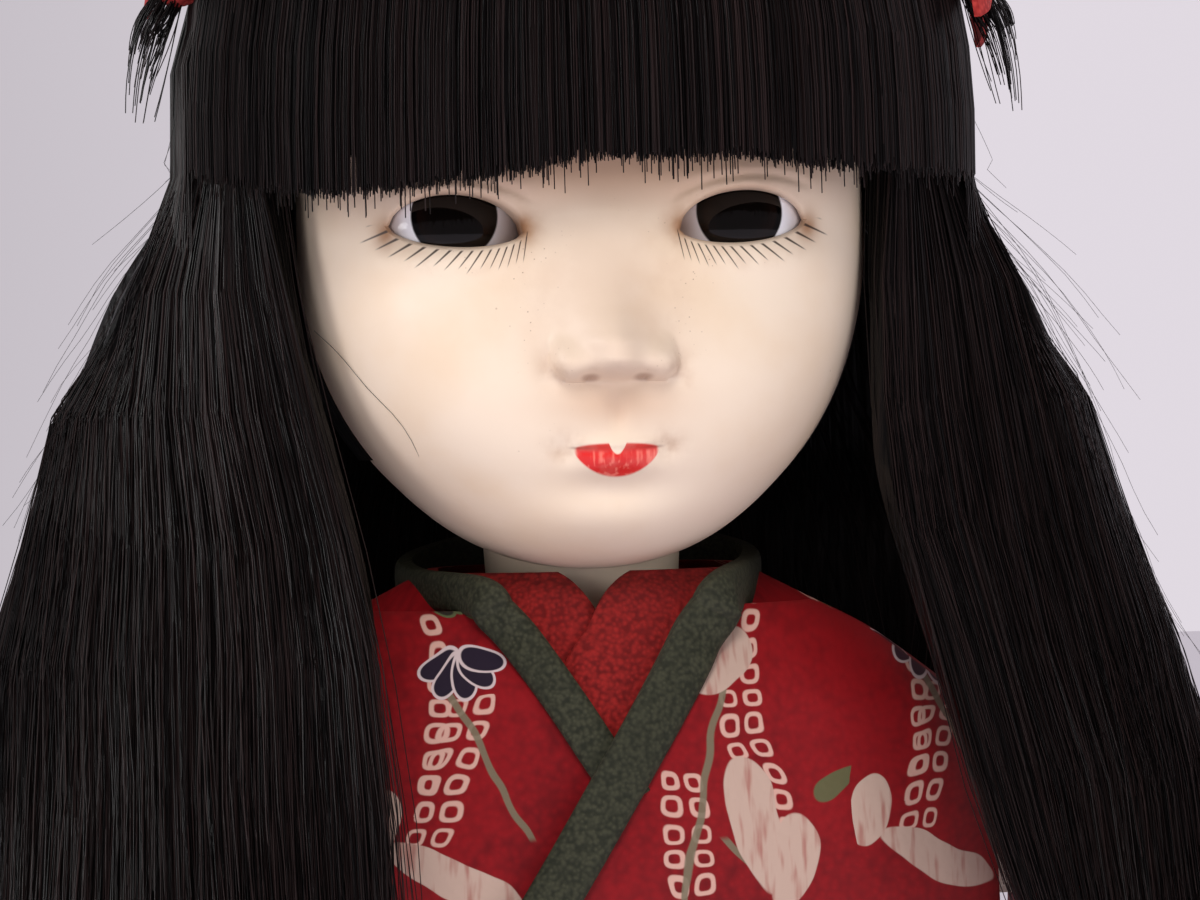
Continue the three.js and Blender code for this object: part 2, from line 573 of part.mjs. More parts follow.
function buildBody(group) {
  const neckHole = column(0, NECK_Y, NECK_SEAT - PEG_LENGTH, FAR, PEG_RADIUS + GAP);
  const postHole = column(0, POST_Y, 0, postTop + GAP, POST_RADIUS + GAP);
  add(group, "torso_core", cut(torsoForm(0), neckHole, postHole), COMPOSITION);

  const armHoles = SIDES.map(([, side]) => shoulderPin(side, 0, FAR, SHOULDER_RADIUS + GAP));
  const neckRoom = column(0, NECK_Y, NECK_SEAT, FAR, NECK_RADIUS + 1.2, 20);
  const body = loft(steps(bodyBottom, shoulderTop, 11).map((z) => bodyRing(z, 0)));
  add(group, "kimono_body", cut(body, torsoForm(GAP), neckRoom, ...armHoles), KIMONO);
  buildFront(group);

  const sash = loft(steps(OBI_BOTTOM, obiTop, 3).map((z) =>
    bodyRing(z, OBI_THICKNESS * (0.75 + 0.25 * rounded((z - waistHeight) / (OBI_HEIGHT / 2), 3)))));
  const waist = loft(steps(bodyBottom, obiTop + 4, 4).map((z) => bodyRing(z, GAP)));
  add(group, "obi", cut(sash, waist), BROCADE);
  buildBow(group);
  buildSkirt(group);
}

// Arms, hands and sleeves

function shoulderPin(side, from, to, radius) {
  const ring = (x) => steps(0, 2 * Math.PI, ROUND_SIDES).slice(0, ROUND_SIDES).map((turn) =>
    vec(side * x, radius * Math.cos(turn), SHOULDER_HEIGHT + radius * Math.sin(turn)));
  return loft([ring(from), ring(to)]);
}

function buildArm(group, name, side) {
  const x = side * (ARM_X + ARM_OUT);
  const elbow = vec(x, 0, SHOULDER_HEIGHT - ELBOW_DROP);
  const wrist = vec(x, -FOREARM_REACH, elbow.z - FOREARM_DROP);
  const upper = (grow) => tube([vec(x, 0, SHOULDER_HEIGHT + 2.5 + grow), vec(x, 0, SHOULDER_HEIGHT - ELBOW_DROP / 2),
    elbow.clone().setZ(elbow.z - grow)], (t) => UPPER_ARM_RADIUS * (0.78 + 0.22 * rounded(2 * t - 1, 2)) + grow, 5,
    ROUND_SIDES);
  const along = wrist.clone().sub(elbow).normalize();
  const forearm = (grow) => tube([elbow.clone().addScaledVector(along, -grow), elbow.clone().lerp(wrist, 0.5),
    wrist.clone().addScaledVector(along, grow ? 40 : 0)],
  (t) => lerp(FOREARM_RADIUS, WRIST_RADIUS, t) + grow, 3, ROUND_SIDES);

  const pin = shoulderPin(side, torsoWidth(SHOULDER_HEIGHT) + GAP, ARM_X + ARM_OUT, SHOULDER_RADIUS);
  add(group, `${name}_upper_arm`, cut(join(upper(0), pin), forearm(GAP)), COTTON);
  add(group, `${name}_forearm`, join(forearm(0), ...handPieces(wrist, side)), GOFUN);

  const cuffStart = elbow.clone().lerp(wrist, 0.62);
  const cuff = tube([cuffStart, wrist.clone().lerp(cuffStart, 0.15)], () => CUFF_RADIUS, 1, ROUND_SIDES);
  add(group, `${name}_sleeve_lining`, cut(cuff, forearm(GAP)), LINING);
  const cuffRoom = tube([cuffStart.clone().addScaledVector(along, -GAP), wrist.clone().addScaledVector(along, 40)],
    () => CUFF_RADIUS + GAP, 1, ROUND_SIDES);
  const armhole = shoulderPin(side, 0, ARM_X + ARM_OUT, SHOULDER_RADIUS + GAP);
  add(group, `${name}_sleeve`, cut(sleeveForm(side), armhole, upper(GAP), forearm(GAP), cuffRoom), KIMONO);
}

// A child's plump hand, fingers together and palm towards the body.
function handPieces(wrist, side) {
  const along = vec(0, -0.66, -0.75);
  const across = vec(0, -0.75, 0.66);
  const reach = (d, a, inward) => wrist.clone().addScaledVector(along, d * HAND_LENGTH)
    .addScaledVector(across, a).add(vec(-side * inward, 0, 0));
  const palm = tube([reach(-0.08, 0, 0), reach(0.25, 0, 0.3), reach(0.58, 0, 0.8)],
    (t) => 2.6 + 0.5 * Math.sin(Math.PI * t), 3, 10, 1.75);
  const fingers = [-3.6, -1.25, 1.25, 3.6].map((a, i) => {
    const length = [0.9, 1, 0.99, 0.93][i];
    return tube([reach(0.5, a, 0.6), reach(0.75, a * 1.02, 1), reach(length, a * 0.92, 2.2)],
      (t) => 1.5 - 0.5 * t * t, 2, 6);
  });
  const thumb = tube([reach(0.12, 3.4, 0.6), reach(0.38, 6.2, 1.8), reach(0.6, 6.6, 3)],
    (t) => 1.8 - 0.6 * t * t, 3, 6);
  return [palm, ...fingers, thumb];
}

// The long sleeve hangs as a flat bag whose two faces fall in soft folds.
function sleeveForm(side) {
  const t = SLEEVE_HALF_THICKNESS;
  const d = SLEEVE_HALF_DEPTH;
  const edge = ARM_X + 2 * GAP;
  const rows = [[-0.06, 3.5, 0.18, 0], [-0.03, 0.8 * t, 0.34, 0], [0.02, t, 0.47, 0], [0.16, 1.05 * t, 0.7, 0.4],
    [0.35, t, 0.91, 0.9], [0.55, 0.9 * t, 1, 1.8], [0.75, 0.78 * t, 0.99, 2.6], [0.9, 0.66 * t, 0.96, 3.6],
    [0.97, 0.48 * t, 0.84, 5.2], [1, 0.25 * t, 0.66, 7]];
  return loft(rows.map(([drop, thick, deep, inset]) => {
    const z = SHOULDER_HEIGHT - drop * SLEEVE_DROP;
    const fall = smoothstep(drop, 0.2, 0.8);
    return oval(z, thick, d * deep, d * deep, 3, 18).map((p) => {
      const sway = 0.16 * fall * thick * Math.cos((3.2 * Math.PI * p.y) / d + 0.6) * (p.x / thick);
      const flare = (SLEEVE_FLARE / 2) * smoothstep(drop, 0.08, 0.6) * (p.y / (d * deep) + 1);
      return vec(side * (edge + inset + thick + p.x * 0.94 + sway + flare), p.y, p.z);
    });
  }));
}

// Head: the bare form in level sections, with the features raised on the front of it

const HEAD_POWER = 2.4;

function headPoint(turn, z, grow, withFace) {
  const low = z < HEAD_WIDEST;
  const t = low ? (HEAD_WIDEST - z) / HEAD_WIDEST : (z - HEAD_WIDEST) / (HEAD_HEIGHT - HEAD_WIDEST);
  const [s, c] = [Math.sin(turn), -Math.cos(turn)];
  const halfWidth = HEAD_HALF_WIDTH * rounded(t, low ? 2.05 : 2.4) + grow;
  const front = FACE_DEPTH * rounded(t, low ? 2.9 : 2.4) + grow;
  const back = SKULL_DEPTH * rounded(t, low ? 2 : 2.4) + grow;
  const reach = (Math.abs(s / halfWidth) ** HEAD_POWER + Math.abs(c / (c < 0 ? front : back)) ** HEAD_POWER)
    ** (-1 / HEAD_POWER);
  const forward = low ? 5 * t * t : 0;
  const x = reach * s;
  const facing = withFace ? smoothstep(-c, 0.2, 0.6) : 0;
  return vec(x, reach * c - forward - facing * relief(x, z), z);
}

// How far the features stand out of the bare face at x from its middle and z above the chin.
function relief(x, z) {
  const side = Math.abs(x);
  const noseRidge = through([17.5, 0], [19, 0.1], [20, 1], [21, 4], [22.2, 5.9], [23.6, 6.2], [26, 4.9], [29, 3],
    [33, 1.4], [38, 0.4], [44, 0]);
  const noseWidth = through([19, 3.8], [23, 3.9], [30, 3.5], [42, 4]);
  const mouth = 12.5 + 0.022 * x * x;
  const parts = [
    noseRidge(z) * bell(x, noseWidth(z)),
    2.3 * bell(side - 5.1, 1.7) * bell(z - 22.2, 1.8),
    -1.3 * bell(side - 2.8, 1.1) * bell(z - 20.2, 0.6),
    -0.5 * bell(x, 0.7) * bell(z - 17, 1.4),
    1.5 * bell(x, 7) * bell(z - 14, 4.5),
    0.7 * bell(x, 1.4) * bell(z - 13.4, 0.9),
    0.45 * bell(side - 3, 2) * bell(z - mouth - 1, 0.6),
    -0.8 * bell(z - mouth, 0.4) * (1 - smoothstep(side, 5.2, 6.8)),
    1.1 * bell(x, 3) * bell(z - 11.2, 1),
    -0.5 * bell(side - 6.6, 1.1) * bell(z - 13.3, 1.1),
    -0.9 * bell(x, 4.5) * bell(z - 8.4, 1.3),
    2.3 * bell(x, 6.5) * bell(z - 4.6, 3.2),
    1.9 * bell(side - 17, 9) * bell(z - 19, 9),
    -1.5 * bell(side - EYE_X, 7) * bell(z - EYE_Z - 1, 4.2),
    1.2 * bell(side - EYE_X, 6.6) * bell(z - EYE_Z - EYE_UPPER - 0.8, 1.7),
    0.8 * bell(side - EYE_X, 6) * bell(z - EYE_Z + EYE_LOWER + 1.6, 1.4),
    -0.8 * bell(x, 4) * bell(z - 40, 4),
  ];
  return parts.reduce((sum, h) => sum + h, 0);
}

function headForm(grow, withFace) {
  const levels = [0.15, 1, 2.8, 5, 7, 8.6, 10, 11.2, 12.4, 13.5, 15.2, 17.2, 19.2, 20.4, 21.6, 23.2, 25.6, 28.6, 32,
    35, 38, 41.2, 45, 53, 63, 73, 80, 84.6, 87.2, 87.9];
  const wide = THREE.MathUtils.degToRad(64);
  const faceTurns = steps(-1, 1, FACE_SIDES).map((s) => wide * (0.55 * s + 0.45 * s ** 3));
  const backTurns = steps(wide, 2 * Math.PI - wide, BACK_SIDES).slice(1, BACK_SIDES);
  const turns = withFace ? [...faceTurns, ...backTurns] : steps(0, 2 * Math.PI, 20).slice(0, 20);
  const rows = withFace ? levels : levels.filter((_, i) => i % 3 === 0 || i > 22);
  return loft(rows.map((level) => {
    const z = (level / 88) * HEAD_HEIGHT;
    const spread = level > 87 ? grow : level < 1 ? -grow : 0;
    return turns.map((turn) => headPoint(turn, z, grow, withFace).add(vec(0, 0, spread)));
  }));
}

// The almond opening between the lids, as a prism through the face.
function eyeOpening(side) {
  const lid = (height, power) => (t) => height * rounded(t, 2) ** power;
  const [upper, lower] = [lid(EYE_UPPER, 1.1), lid(EYE_LOWER, 1.2)];
  const outline = [
    ...steps(-1, 1, 8).map((t) => [t * EYE_HALF_WIDTH, upper(t)]),
    ...steps(1, -1, 8).slice(1, 8).map((t) => [t * EYE_HALF_WIDTH, -lower(t)]),
  ].map(([x, z]) => [x * Math.cos(EYE_TILT) - z * Math.sin(EYE_TILT), x * Math.sin(EYE_TILT) + z * Math.cos(EYE_TILT)]);
  const at = (y) => outline.map(([x, z]) => vec(side * (EYE_X + x), y, EYE_Z + z));
  return loft([at(-60), at(-16)]);
}

function buildHead(group) {
  const neckFoot = NECK_SEAT - CHIN_HEIGHT + GAP;
  const neck = loft([[neckFoot, 1.06], [neckFoot + 4, 1], [-2, 1], [8, 1.05], [16, 1.1]].map(([z, k]) =>
    oval(z, NECK_RADIUS * k, NECK_RADIUS * k, NECK_RADIUS * k, 2, 20, 0, NECK_Y)));
  const hollow = new THREE.SphereGeometry(1, 12, 8)
    .scale(HEAD_HALF_WIDTH - HEAD_WALL - 1, (FACE_DEPTH + SKULL_DEPTH) / 2 - HEAD_WALL - 3, HEAD_HEIGHT * 0.38)
    .translate(0, (SKULL_DEPTH - FACE_DEPTH) / 2 + 2, HEAD_HEIGHT * 0.53);
  const bore = column(0, NECK_Y, -FAR, HEAD_HEIGHT * 0.35, PEG_RADIUS + GAP);

  const glassY = headPoint(Math.asin(EYE_X / FACE_DEPTH), EYE_Z, 0, true).y + EYE_INSET + EYEBALL_RADIUS;
  const ball = (side, radius) => new THREE.SphereGeometry(radius, 12, 8).translate(side * EYE_X, glassY, EYE_Z);
  const pupil = (side, radius) => new THREE.CylinderGeometry(radius, radius, EYEBALL_RADIUS, 12)
    .translate(side * EYE_X, glassY - EYEBALL_RADIUS, EYE_Z + IRIS_RISE);
  const sockets = SIDES.flatMap(([, side]) => [eyeOpening(side), ball(side, EYEBALL_RADIUS + GAP)]);
  const whole = cut(join(headForm(0, true), neck), hollow, bore, ...sockets);
  add(group, "head_front", cut(whole, box(vec(-FAR, HEAD_SPLIT_Y, -FAR), vec(FAR, FAR, FAR))), GOFUN);
  add(group, "head_back", cut(whole, box(vec(-FAR, -FAR, -FAR), vec(FAR, HEAD_SPLIT_Y + GAP, FAR))), GOFUN);
  for (const [name, side] of SIDES) {
    const inlay = cut(pupil(side, IRIS_RADIUS + GAP), ball(side, EYEBALL_RADIUS - IRIS_THICKNESS - GAP));
    add(group, `${name}_eyeball`, cut(ball(side, EYEBALL_RADIUS), inlay), WHITE_GLASS);
    const disc = solid(pupil(side, IRIS_RADIUS)).intersect(solid(ball(side, EYEBALL_RADIUS)));
    add(group, `${name}_iris`, cut(geometryOf(disc), ball(side, EYEBALL_RADIUS - IRIS_THICKNESS)), DARK_GLASS);
  }
  add(group, "neck_peg", column(0, NECK_Y, -PEG_LENGTH, 8, PEG_RADIUS), WOOD);
}

// Wig

const domeBase = HAIR_RIM + 4;

function domePoint(turn, z, grow) {
  const s = rounded(Math.max(0, z - domeBase) / (HAIR_TOP - domeBase), 2.4);
  const [sin, cos] = [Math.sin(turn), -Math.cos(turn)];
  const depth = (cos < 0 ? HAIR_FRONT : HAIR_BACK) * s + grow;
  const reach = (Math.abs(sin / (HAIR_HALF_WIDTH * s + grow)) ** 2.2 + Math.abs(cos / depth) ** 2.2) ** (-1 / 2.2);
  return vec(reach * sin, reach * cos, z);
}

// A hanging curtain of hair: level strips bent through three points, tapering to both edges.
function curtain(front, middle, rear, thickness, columns, rows) {
  const face = (sign) => (u, v) => {
    const [a, b, c] = [front(v), middle(v), rear(v)];
    const [wa, wb, wc] = [2 * (u - 0.5) * (u - 1), -4 * u * (u - 1), 2 * u * (u - 0.5)];
    const [da, db, dc] = [4 * u - 3, 4 - 8 * u, 4 * u - 1];
    const x = wa * a[0] + wb * b[0] + wc * c[0];
    const y = wa * a[1] + wb * b[1] + wc * c[1];
    const tangent = new THREE.Vector2(da * a[0] + db * b[0] + dc * c[0], da * a[1] + db * b[1] + dc * c[1]);
    tangent.normalize();
    const lift = sign * 0.5 * thickness(v) * (0.35 + 0.65 * Math.sin(Math.PI * u));
    return vec(x + tangent.y * lift, y - tangent.x * lift, HAIR_RIM - GAP - v * LOCK_LENGTH);
  };
  return slab(face(1), face(-1), columns, rows);
}

function buildHair(group) {
  const dome = loft([...steps(HAIR_RIM, HAIR_TOP - 8, 5), HAIR_TOP - 3, HAIR_TOP - 0.6].map((z) =>
    steps(0, 2 * Math.PI, BODY_SIDES).slice(0, BODY_SIDES).map((turn) => domePoint(turn, z, 0))));
  add(group, "hair_cap", cut(dome, headForm(3 * GAP, false)), HAIR);

  const fringe = (lift) => (u, v) => {
    const turn = lerp(-FRINGE_TURN, FRINGE_TURN, u);
    const z = lerp(FRINGE_BOTTOM, HAIR_TOP - 8, v);
    const fullness = (1 - 0.75 * Math.abs(2 * u - 1) ** 3) * (1 - 0.6 * v * v);
    return domePoint(turn, z, 2 * GAP + lift * FRINGE_THICKNESS * fullness);
  };
  add(group, "fringe", slab(fringe(1), fringe(0), 16, 5), HAIR);

  const widening = through([0, 0.05], [0.18, 0.39], [0.375, 0.58], [0.525, 0.66], [0.66, 0.75], [0.81, 0.87], [1, 1]);
  const halfWidth = (v) => lerp(HAIR_HALF_WIDTH, LOCK_SPREAD, widening(v));
  const thickness = (v) => LOCK_THICKNESS * through([0, 1], [0.5, 1], [0.81, 0.72], [1, 0.55])(v);
  const headRoom = HEAD_HALF_WIDTH + 3;
  const frontY = through([0, -13], [0.18, -16], [0.375, -19], [0.525, -23], [0.66, -27], [0.81, -31.5], [1, -34.5]);
  const middleY = through([0, 3], [0.18, 2], [0.375, -1], [0.525, -7], [0.66, -15], [0.81, -25], [1, -32]);
  const rearY = through([0, 22], [0.18, 21], [0.375, 17], [0.525, 8], [0.66, -4], [0.81, -20], [1, -28.5]);
  const rearInset = through([0, 9], [0.18, 9], [0.375, 8], [0.525, 5], [0.66, 4], [0.81, 3.5], [1, 3]);
  for (const [name, side] of SIDES) {
    const tips = side > 0 ? 46 : 31; // the doll's right lock spreads further over the chest
    const frontX = through([0, headRoom + 1], [0.375, headRoom], [0.6, lerp(headRoom, tips, 0.4)], [1, tips]);
    const bulge = through([0, 0.5], [0.6, 0.5], [1, 6]);
    const lock = curtain((v) => [side * frontX(v), frontY(v)],
      (v) => [side * (halfWidth(v) - thickness(v) / 2 - bulge(v)), middleY(v)],
      (v) => [side * (halfWidth(v) - rearInset(v)), rearY(v)], thickness, 7, 8);
    add(group, `side_lock_${name}`, lock, HAIR);
  }

  const spread = through([0, 34], [0.18, 43], [0.375, 50], [0.525, 56], [0.66, 58], [0.81, 56], [1, 52]);
  const edgeY = through([0, 29], [0.18, 27], [0.375, 24], [0.525, 17], [0.66, 16], [0.81, 20], [1, 24]);
  const backY = through([0, HAIR_BACK - 5], [0.375, HAIR_BACK - 3], [0.66, HAIR_BACK - 7], [1, HAIR_BACK - 12]);
  add(group, "back_hair", curtain((v) => [spread(v), edgeY(v)], (v) => [0, backY(v)],
    (v) => [-spread(v), edgeY(v)], () => BACK_HAIR_THICKNESS, 12, 7), HAIR);
}

// The tied tuft at each temple and its red ribbon.
function buildTufts(group) {
  const knotTurn = THREE.MathUtils.degToRad(82);
  const knotZ = lerp(HAIR_RIM, HAIR_TOP, 0.44);
  for (const [name, side] of SIDES) {
    const at = (turn, z, lift) => domePoint(side * turn, z, lift);
    const bow = (lift) => (u, v) => {
      const t = 2 * u - 1;
      const height = (RIBBON_WIDTH / 2) * (0.3 + 0.7 * Math.abs(t)) * (2 * v - 1);
      return at(knotTurn + 0.34 * t, knotZ + height - 2.4 * Math.abs(t), lift);
    };
    const low = FRINGE_THICKNESS * 0.75 + 3 * GAP;
    const loops = slab(bow(low + 1.6), bow(low), 6, 2);
    const knotRadius = (low + 2) / 2;
    const centre = at(knotTurn, knotZ, knotRadius - GAP);
    const knot = new THREE.SphereGeometry(knotRadius, 8, 6).translate(centre.x, centre.y, centre.z);
    add(group, `hair_ribbon_${name}`, join(loops, knot), RED_CREPE);

    const top = knotZ - knotRadius - GAP;
    const path = [0, 0.5, 1].map((t) => at(knotTurn + 0.02 * t, top - t * TUFT_LENGTH * 0.8, 3.4 + 1.8 * t));
    add(group, `side_tuft_${name}`, tube(path, (t) => 2 + 1.2 * Math.sin(Math.PI * (0.15 + 0.75 * t)), 5, 8), HAIR);
  }
}

const doll = new THREE.Group();
doll.name = "ichimatsu_doll";
const stand = new THREE.Group();
const figure = new THREE.Group();
const head = new THREE.Group();
figure.position.set(0, 0, STAND_THICKNESS + GAP);
head.position.set(0, 0, CHIN_HEIGHT);
buildStand(stand);
buildBody(figure);
for (const [name, side] of SIDES) {
  buildLeg(figure, name, side);
  buildArm(figure, name, side);
}
buildHead(head);
buildHair(head);
buildTufts(head);
figure.add(head);
doll.add(stand, figure);
export default doll;
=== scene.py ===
"""Looks of a standing ichimatsu doll: gofun head with set glass eyes, long wig, crepe kimono, sash and stand.

Lengths are in millimetres while a piece is shaped and become metres when its mesh is made. The face looks
along -Y, the doll's own left is +X and the stand rests on z = 0.
"""
import logging
import math
from dataclasses import dataclass
from enum import Enum
from functools import partial, reduce
from typing import Callable, Optional, Sequence, Union

import bpy
import numpy as np
from mathutils import Matrix, Vector


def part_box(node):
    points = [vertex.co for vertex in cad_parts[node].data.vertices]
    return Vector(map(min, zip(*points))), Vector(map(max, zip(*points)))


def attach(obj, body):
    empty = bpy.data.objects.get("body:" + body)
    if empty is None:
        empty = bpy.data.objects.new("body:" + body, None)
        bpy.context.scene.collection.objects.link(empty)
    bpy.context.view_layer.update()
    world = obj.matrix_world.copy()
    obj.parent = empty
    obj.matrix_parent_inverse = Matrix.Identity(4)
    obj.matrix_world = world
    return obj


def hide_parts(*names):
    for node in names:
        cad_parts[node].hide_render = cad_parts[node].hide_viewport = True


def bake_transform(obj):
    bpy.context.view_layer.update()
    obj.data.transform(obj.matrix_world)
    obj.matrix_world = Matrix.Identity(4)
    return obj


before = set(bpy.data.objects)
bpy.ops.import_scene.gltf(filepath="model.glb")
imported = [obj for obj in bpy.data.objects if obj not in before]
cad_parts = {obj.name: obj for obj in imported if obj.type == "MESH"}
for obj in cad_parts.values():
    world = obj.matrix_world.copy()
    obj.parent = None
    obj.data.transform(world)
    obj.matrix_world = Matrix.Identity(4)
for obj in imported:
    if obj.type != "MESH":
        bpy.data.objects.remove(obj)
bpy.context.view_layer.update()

LOG = logging.getLogger("doll")
MM = 0.001
Array = np.ndarray
Numbers = Union[float, np.ndarray]
Curve = Callable[[Array], Array]
Surface = Callable[[Array, Array, Array], Array]
Number = Union[float, "Value"]

FIGURE_BASE = 20.3  # underside of the sandals above the table
CHIN = 324.3  # chin above the table; the head is measured from here
GAP = 0.3  # clear space between neighbouring pieces
EYE_X, EYE_Z = 16.0, 37.4  # middle of an eye opening, from the middle of the face and above the chin
EYE_HALF, EYE_LOW = 7.3, 2.0  # its half-width, and its reach below the middle
MOUTH_Z = 12.5  # line between the lips above the chin
FACE_DRIFT = 0.9  # the nose and mouth sit a little to the doll's left
HEX = 1.732  # height of two rows of hexagons over their width
LASH_PITCH = 14.5  # lashes to a radian of their fan


class Side(Enum):
    """The doll's own left and right."""

    LEFT = 1
    RIGHT = -1

    @property
    def label(self) -> str:
        """The name used in piece names."""
        return self.name.lower()


class Held(Enum):
    """How a sheet of cloth is held."""

    DRAPED = "draped"
    HUNG = "hung"
    FOLDED = "folded"
    STRETCHED = "stretched"


# Curves and small sums

def turns(count: int) -> Array:
    """Even angles once round, from 0."""
    return np.linspace(0, 2 * math.pi, count, endpoint=False)


def shares(rows: int, columns: int, low: float = 0.0) -> tuple[Array, Array]:
    """Shares down and across a grid of points, each from low to 1."""
    return tuple(np.meshgrid(np.linspace(low, 1, rows), np.linspace(low, 1, columns), indexing="ij"))


def unit(vectors: Array) -> Array:
    """The same directions, each of length 1."""
    return vectors / np.linalg.norm(vectors, axis=-1, keepdims=True)


def from_chin(points: Array) -> Array:
    """Points above the table instead of above the chin."""
    return points + (0, 0, CHIN)


def bell(distance: Array, width: float) -> Array:
    """A smooth bump of height 1 and the given width."""
    return np.exp(-0.5 * (distance / width) ** 2)


def rounded(t: Array, power: float) -> Array:
    """Height of a superellipse of unit half-width at t."""
    return np.maximum(0.0, 1.0 - np.abs(t) ** power) ** (1.0 / power)


def ease(x: Array, low: float, high: float) -> Array:
    """A smooth step from 0 at low to 1 at high."""
    t = np.clip((x - low) / (high - low), 0.0, 1.0)
    return t * t * (3.0 - 2.0 * t)


def mix(a: Numbers, b: Numbers, t: Numbers) -> Numbers:
    """The value a share t of the way from a to b."""
    return a + (b - a) * t


def through(*pairs: tuple[float, float]) -> Curve:
    """A smooth curve through points that never overshoots them.

    Args:
        pairs: (position, value) points in rising order.

    Returns:
        A function of position, for numbers and arrays.
    """
    at, value = np.array(pairs, float).T
    rise = np.diff(value) / np.diff(at)
    before = np.concatenate([rise[:1], rise])
    after = np.concatenate([rise, rise[-1:]])
    agree = before * after > 0
    slope = np.where(agree, 2 * before * after / np.where(agree, before + after, 1.0), 0.0)

    def curve(x: Array) -> Array:
        """The curve's value at x.

        Args:
            x: Positions.

        Returns:
            The values.
        """
        s = np.clip(x, at[0], at[-1])
        i = np.clip(np.searchsorted(at, s) - 1, 0, len(at) - 2)
        step = at[i + 1] - at[i]
        t = (s - at[i]) / step
        near = (1 + 2 * t) * (1 - t) ** 2 * value[i] + t * (1 - t) ** 2 * step * slope[i]
        return near + t * t * (3 - 2 * t) * value[i + 1] + t * t * (t - 1) * step * slope[i + 1]

    return curve


def oval(turn: Array, half_width: Array, front: Array, back: Array, power: float) -> tuple[Array, Array]:
    """A level superellipse with its own depth in front and behind.

    Args:
        turn: Angles round it; 0 is the front.
        half_width: Reach to each side.
        front: Reach towards -Y.
        back: Reach towards +Y.
        power: Squareness; 2 is an ellipse.

    Returns:
        The x and y of the points.
    """
    s, c = np.sin(turn), -np.cos(turn)
    depth = np.where(c < 0, front, back)
    reach = (np.abs(s / half_width) ** power + np.abs(c / depth) ** power) ** (-1.0 / power)
    return reach * s, reach * c


def spline(points: Array, count: int) -> Array:
    """A smooth line through a few points.

    Args:
        points: Points, or for each line its points, along the axis before the last.
        count: Points on the finished line.

    Returns:
        The finished points.
    """
    points = np.asarray(points, float)
    n = points.shape[-2]
    at = np.linspace(0, n - 1, count)
    i = np.clip(at.astype(int), 0, n - 2)
    t = (at - i)[:, None]
    p0, p1 = points[..., np.maximum(i - 1, 0), :], points[..., i, :]
    p2, p3 = points[..., i + 1, :], points[..., np.minimum(i + 2, n - 1), :]
    return 0.5 * (2 * p1 + (p2 - p0) * t + (2 * p0 - 5 * p1 + 4 * p2 - p3) * t ** 2
                  + (3 * p1 - p0 - 3 * p2 + p3) * t ** 3)


def stack(x: Numbers, y: Numbers, z: Numbers) -> Array:
    """Points from three arrays that broadcast together."""
    return np.stack(np.broadcast_arrays(x, y, z), axis=-1)


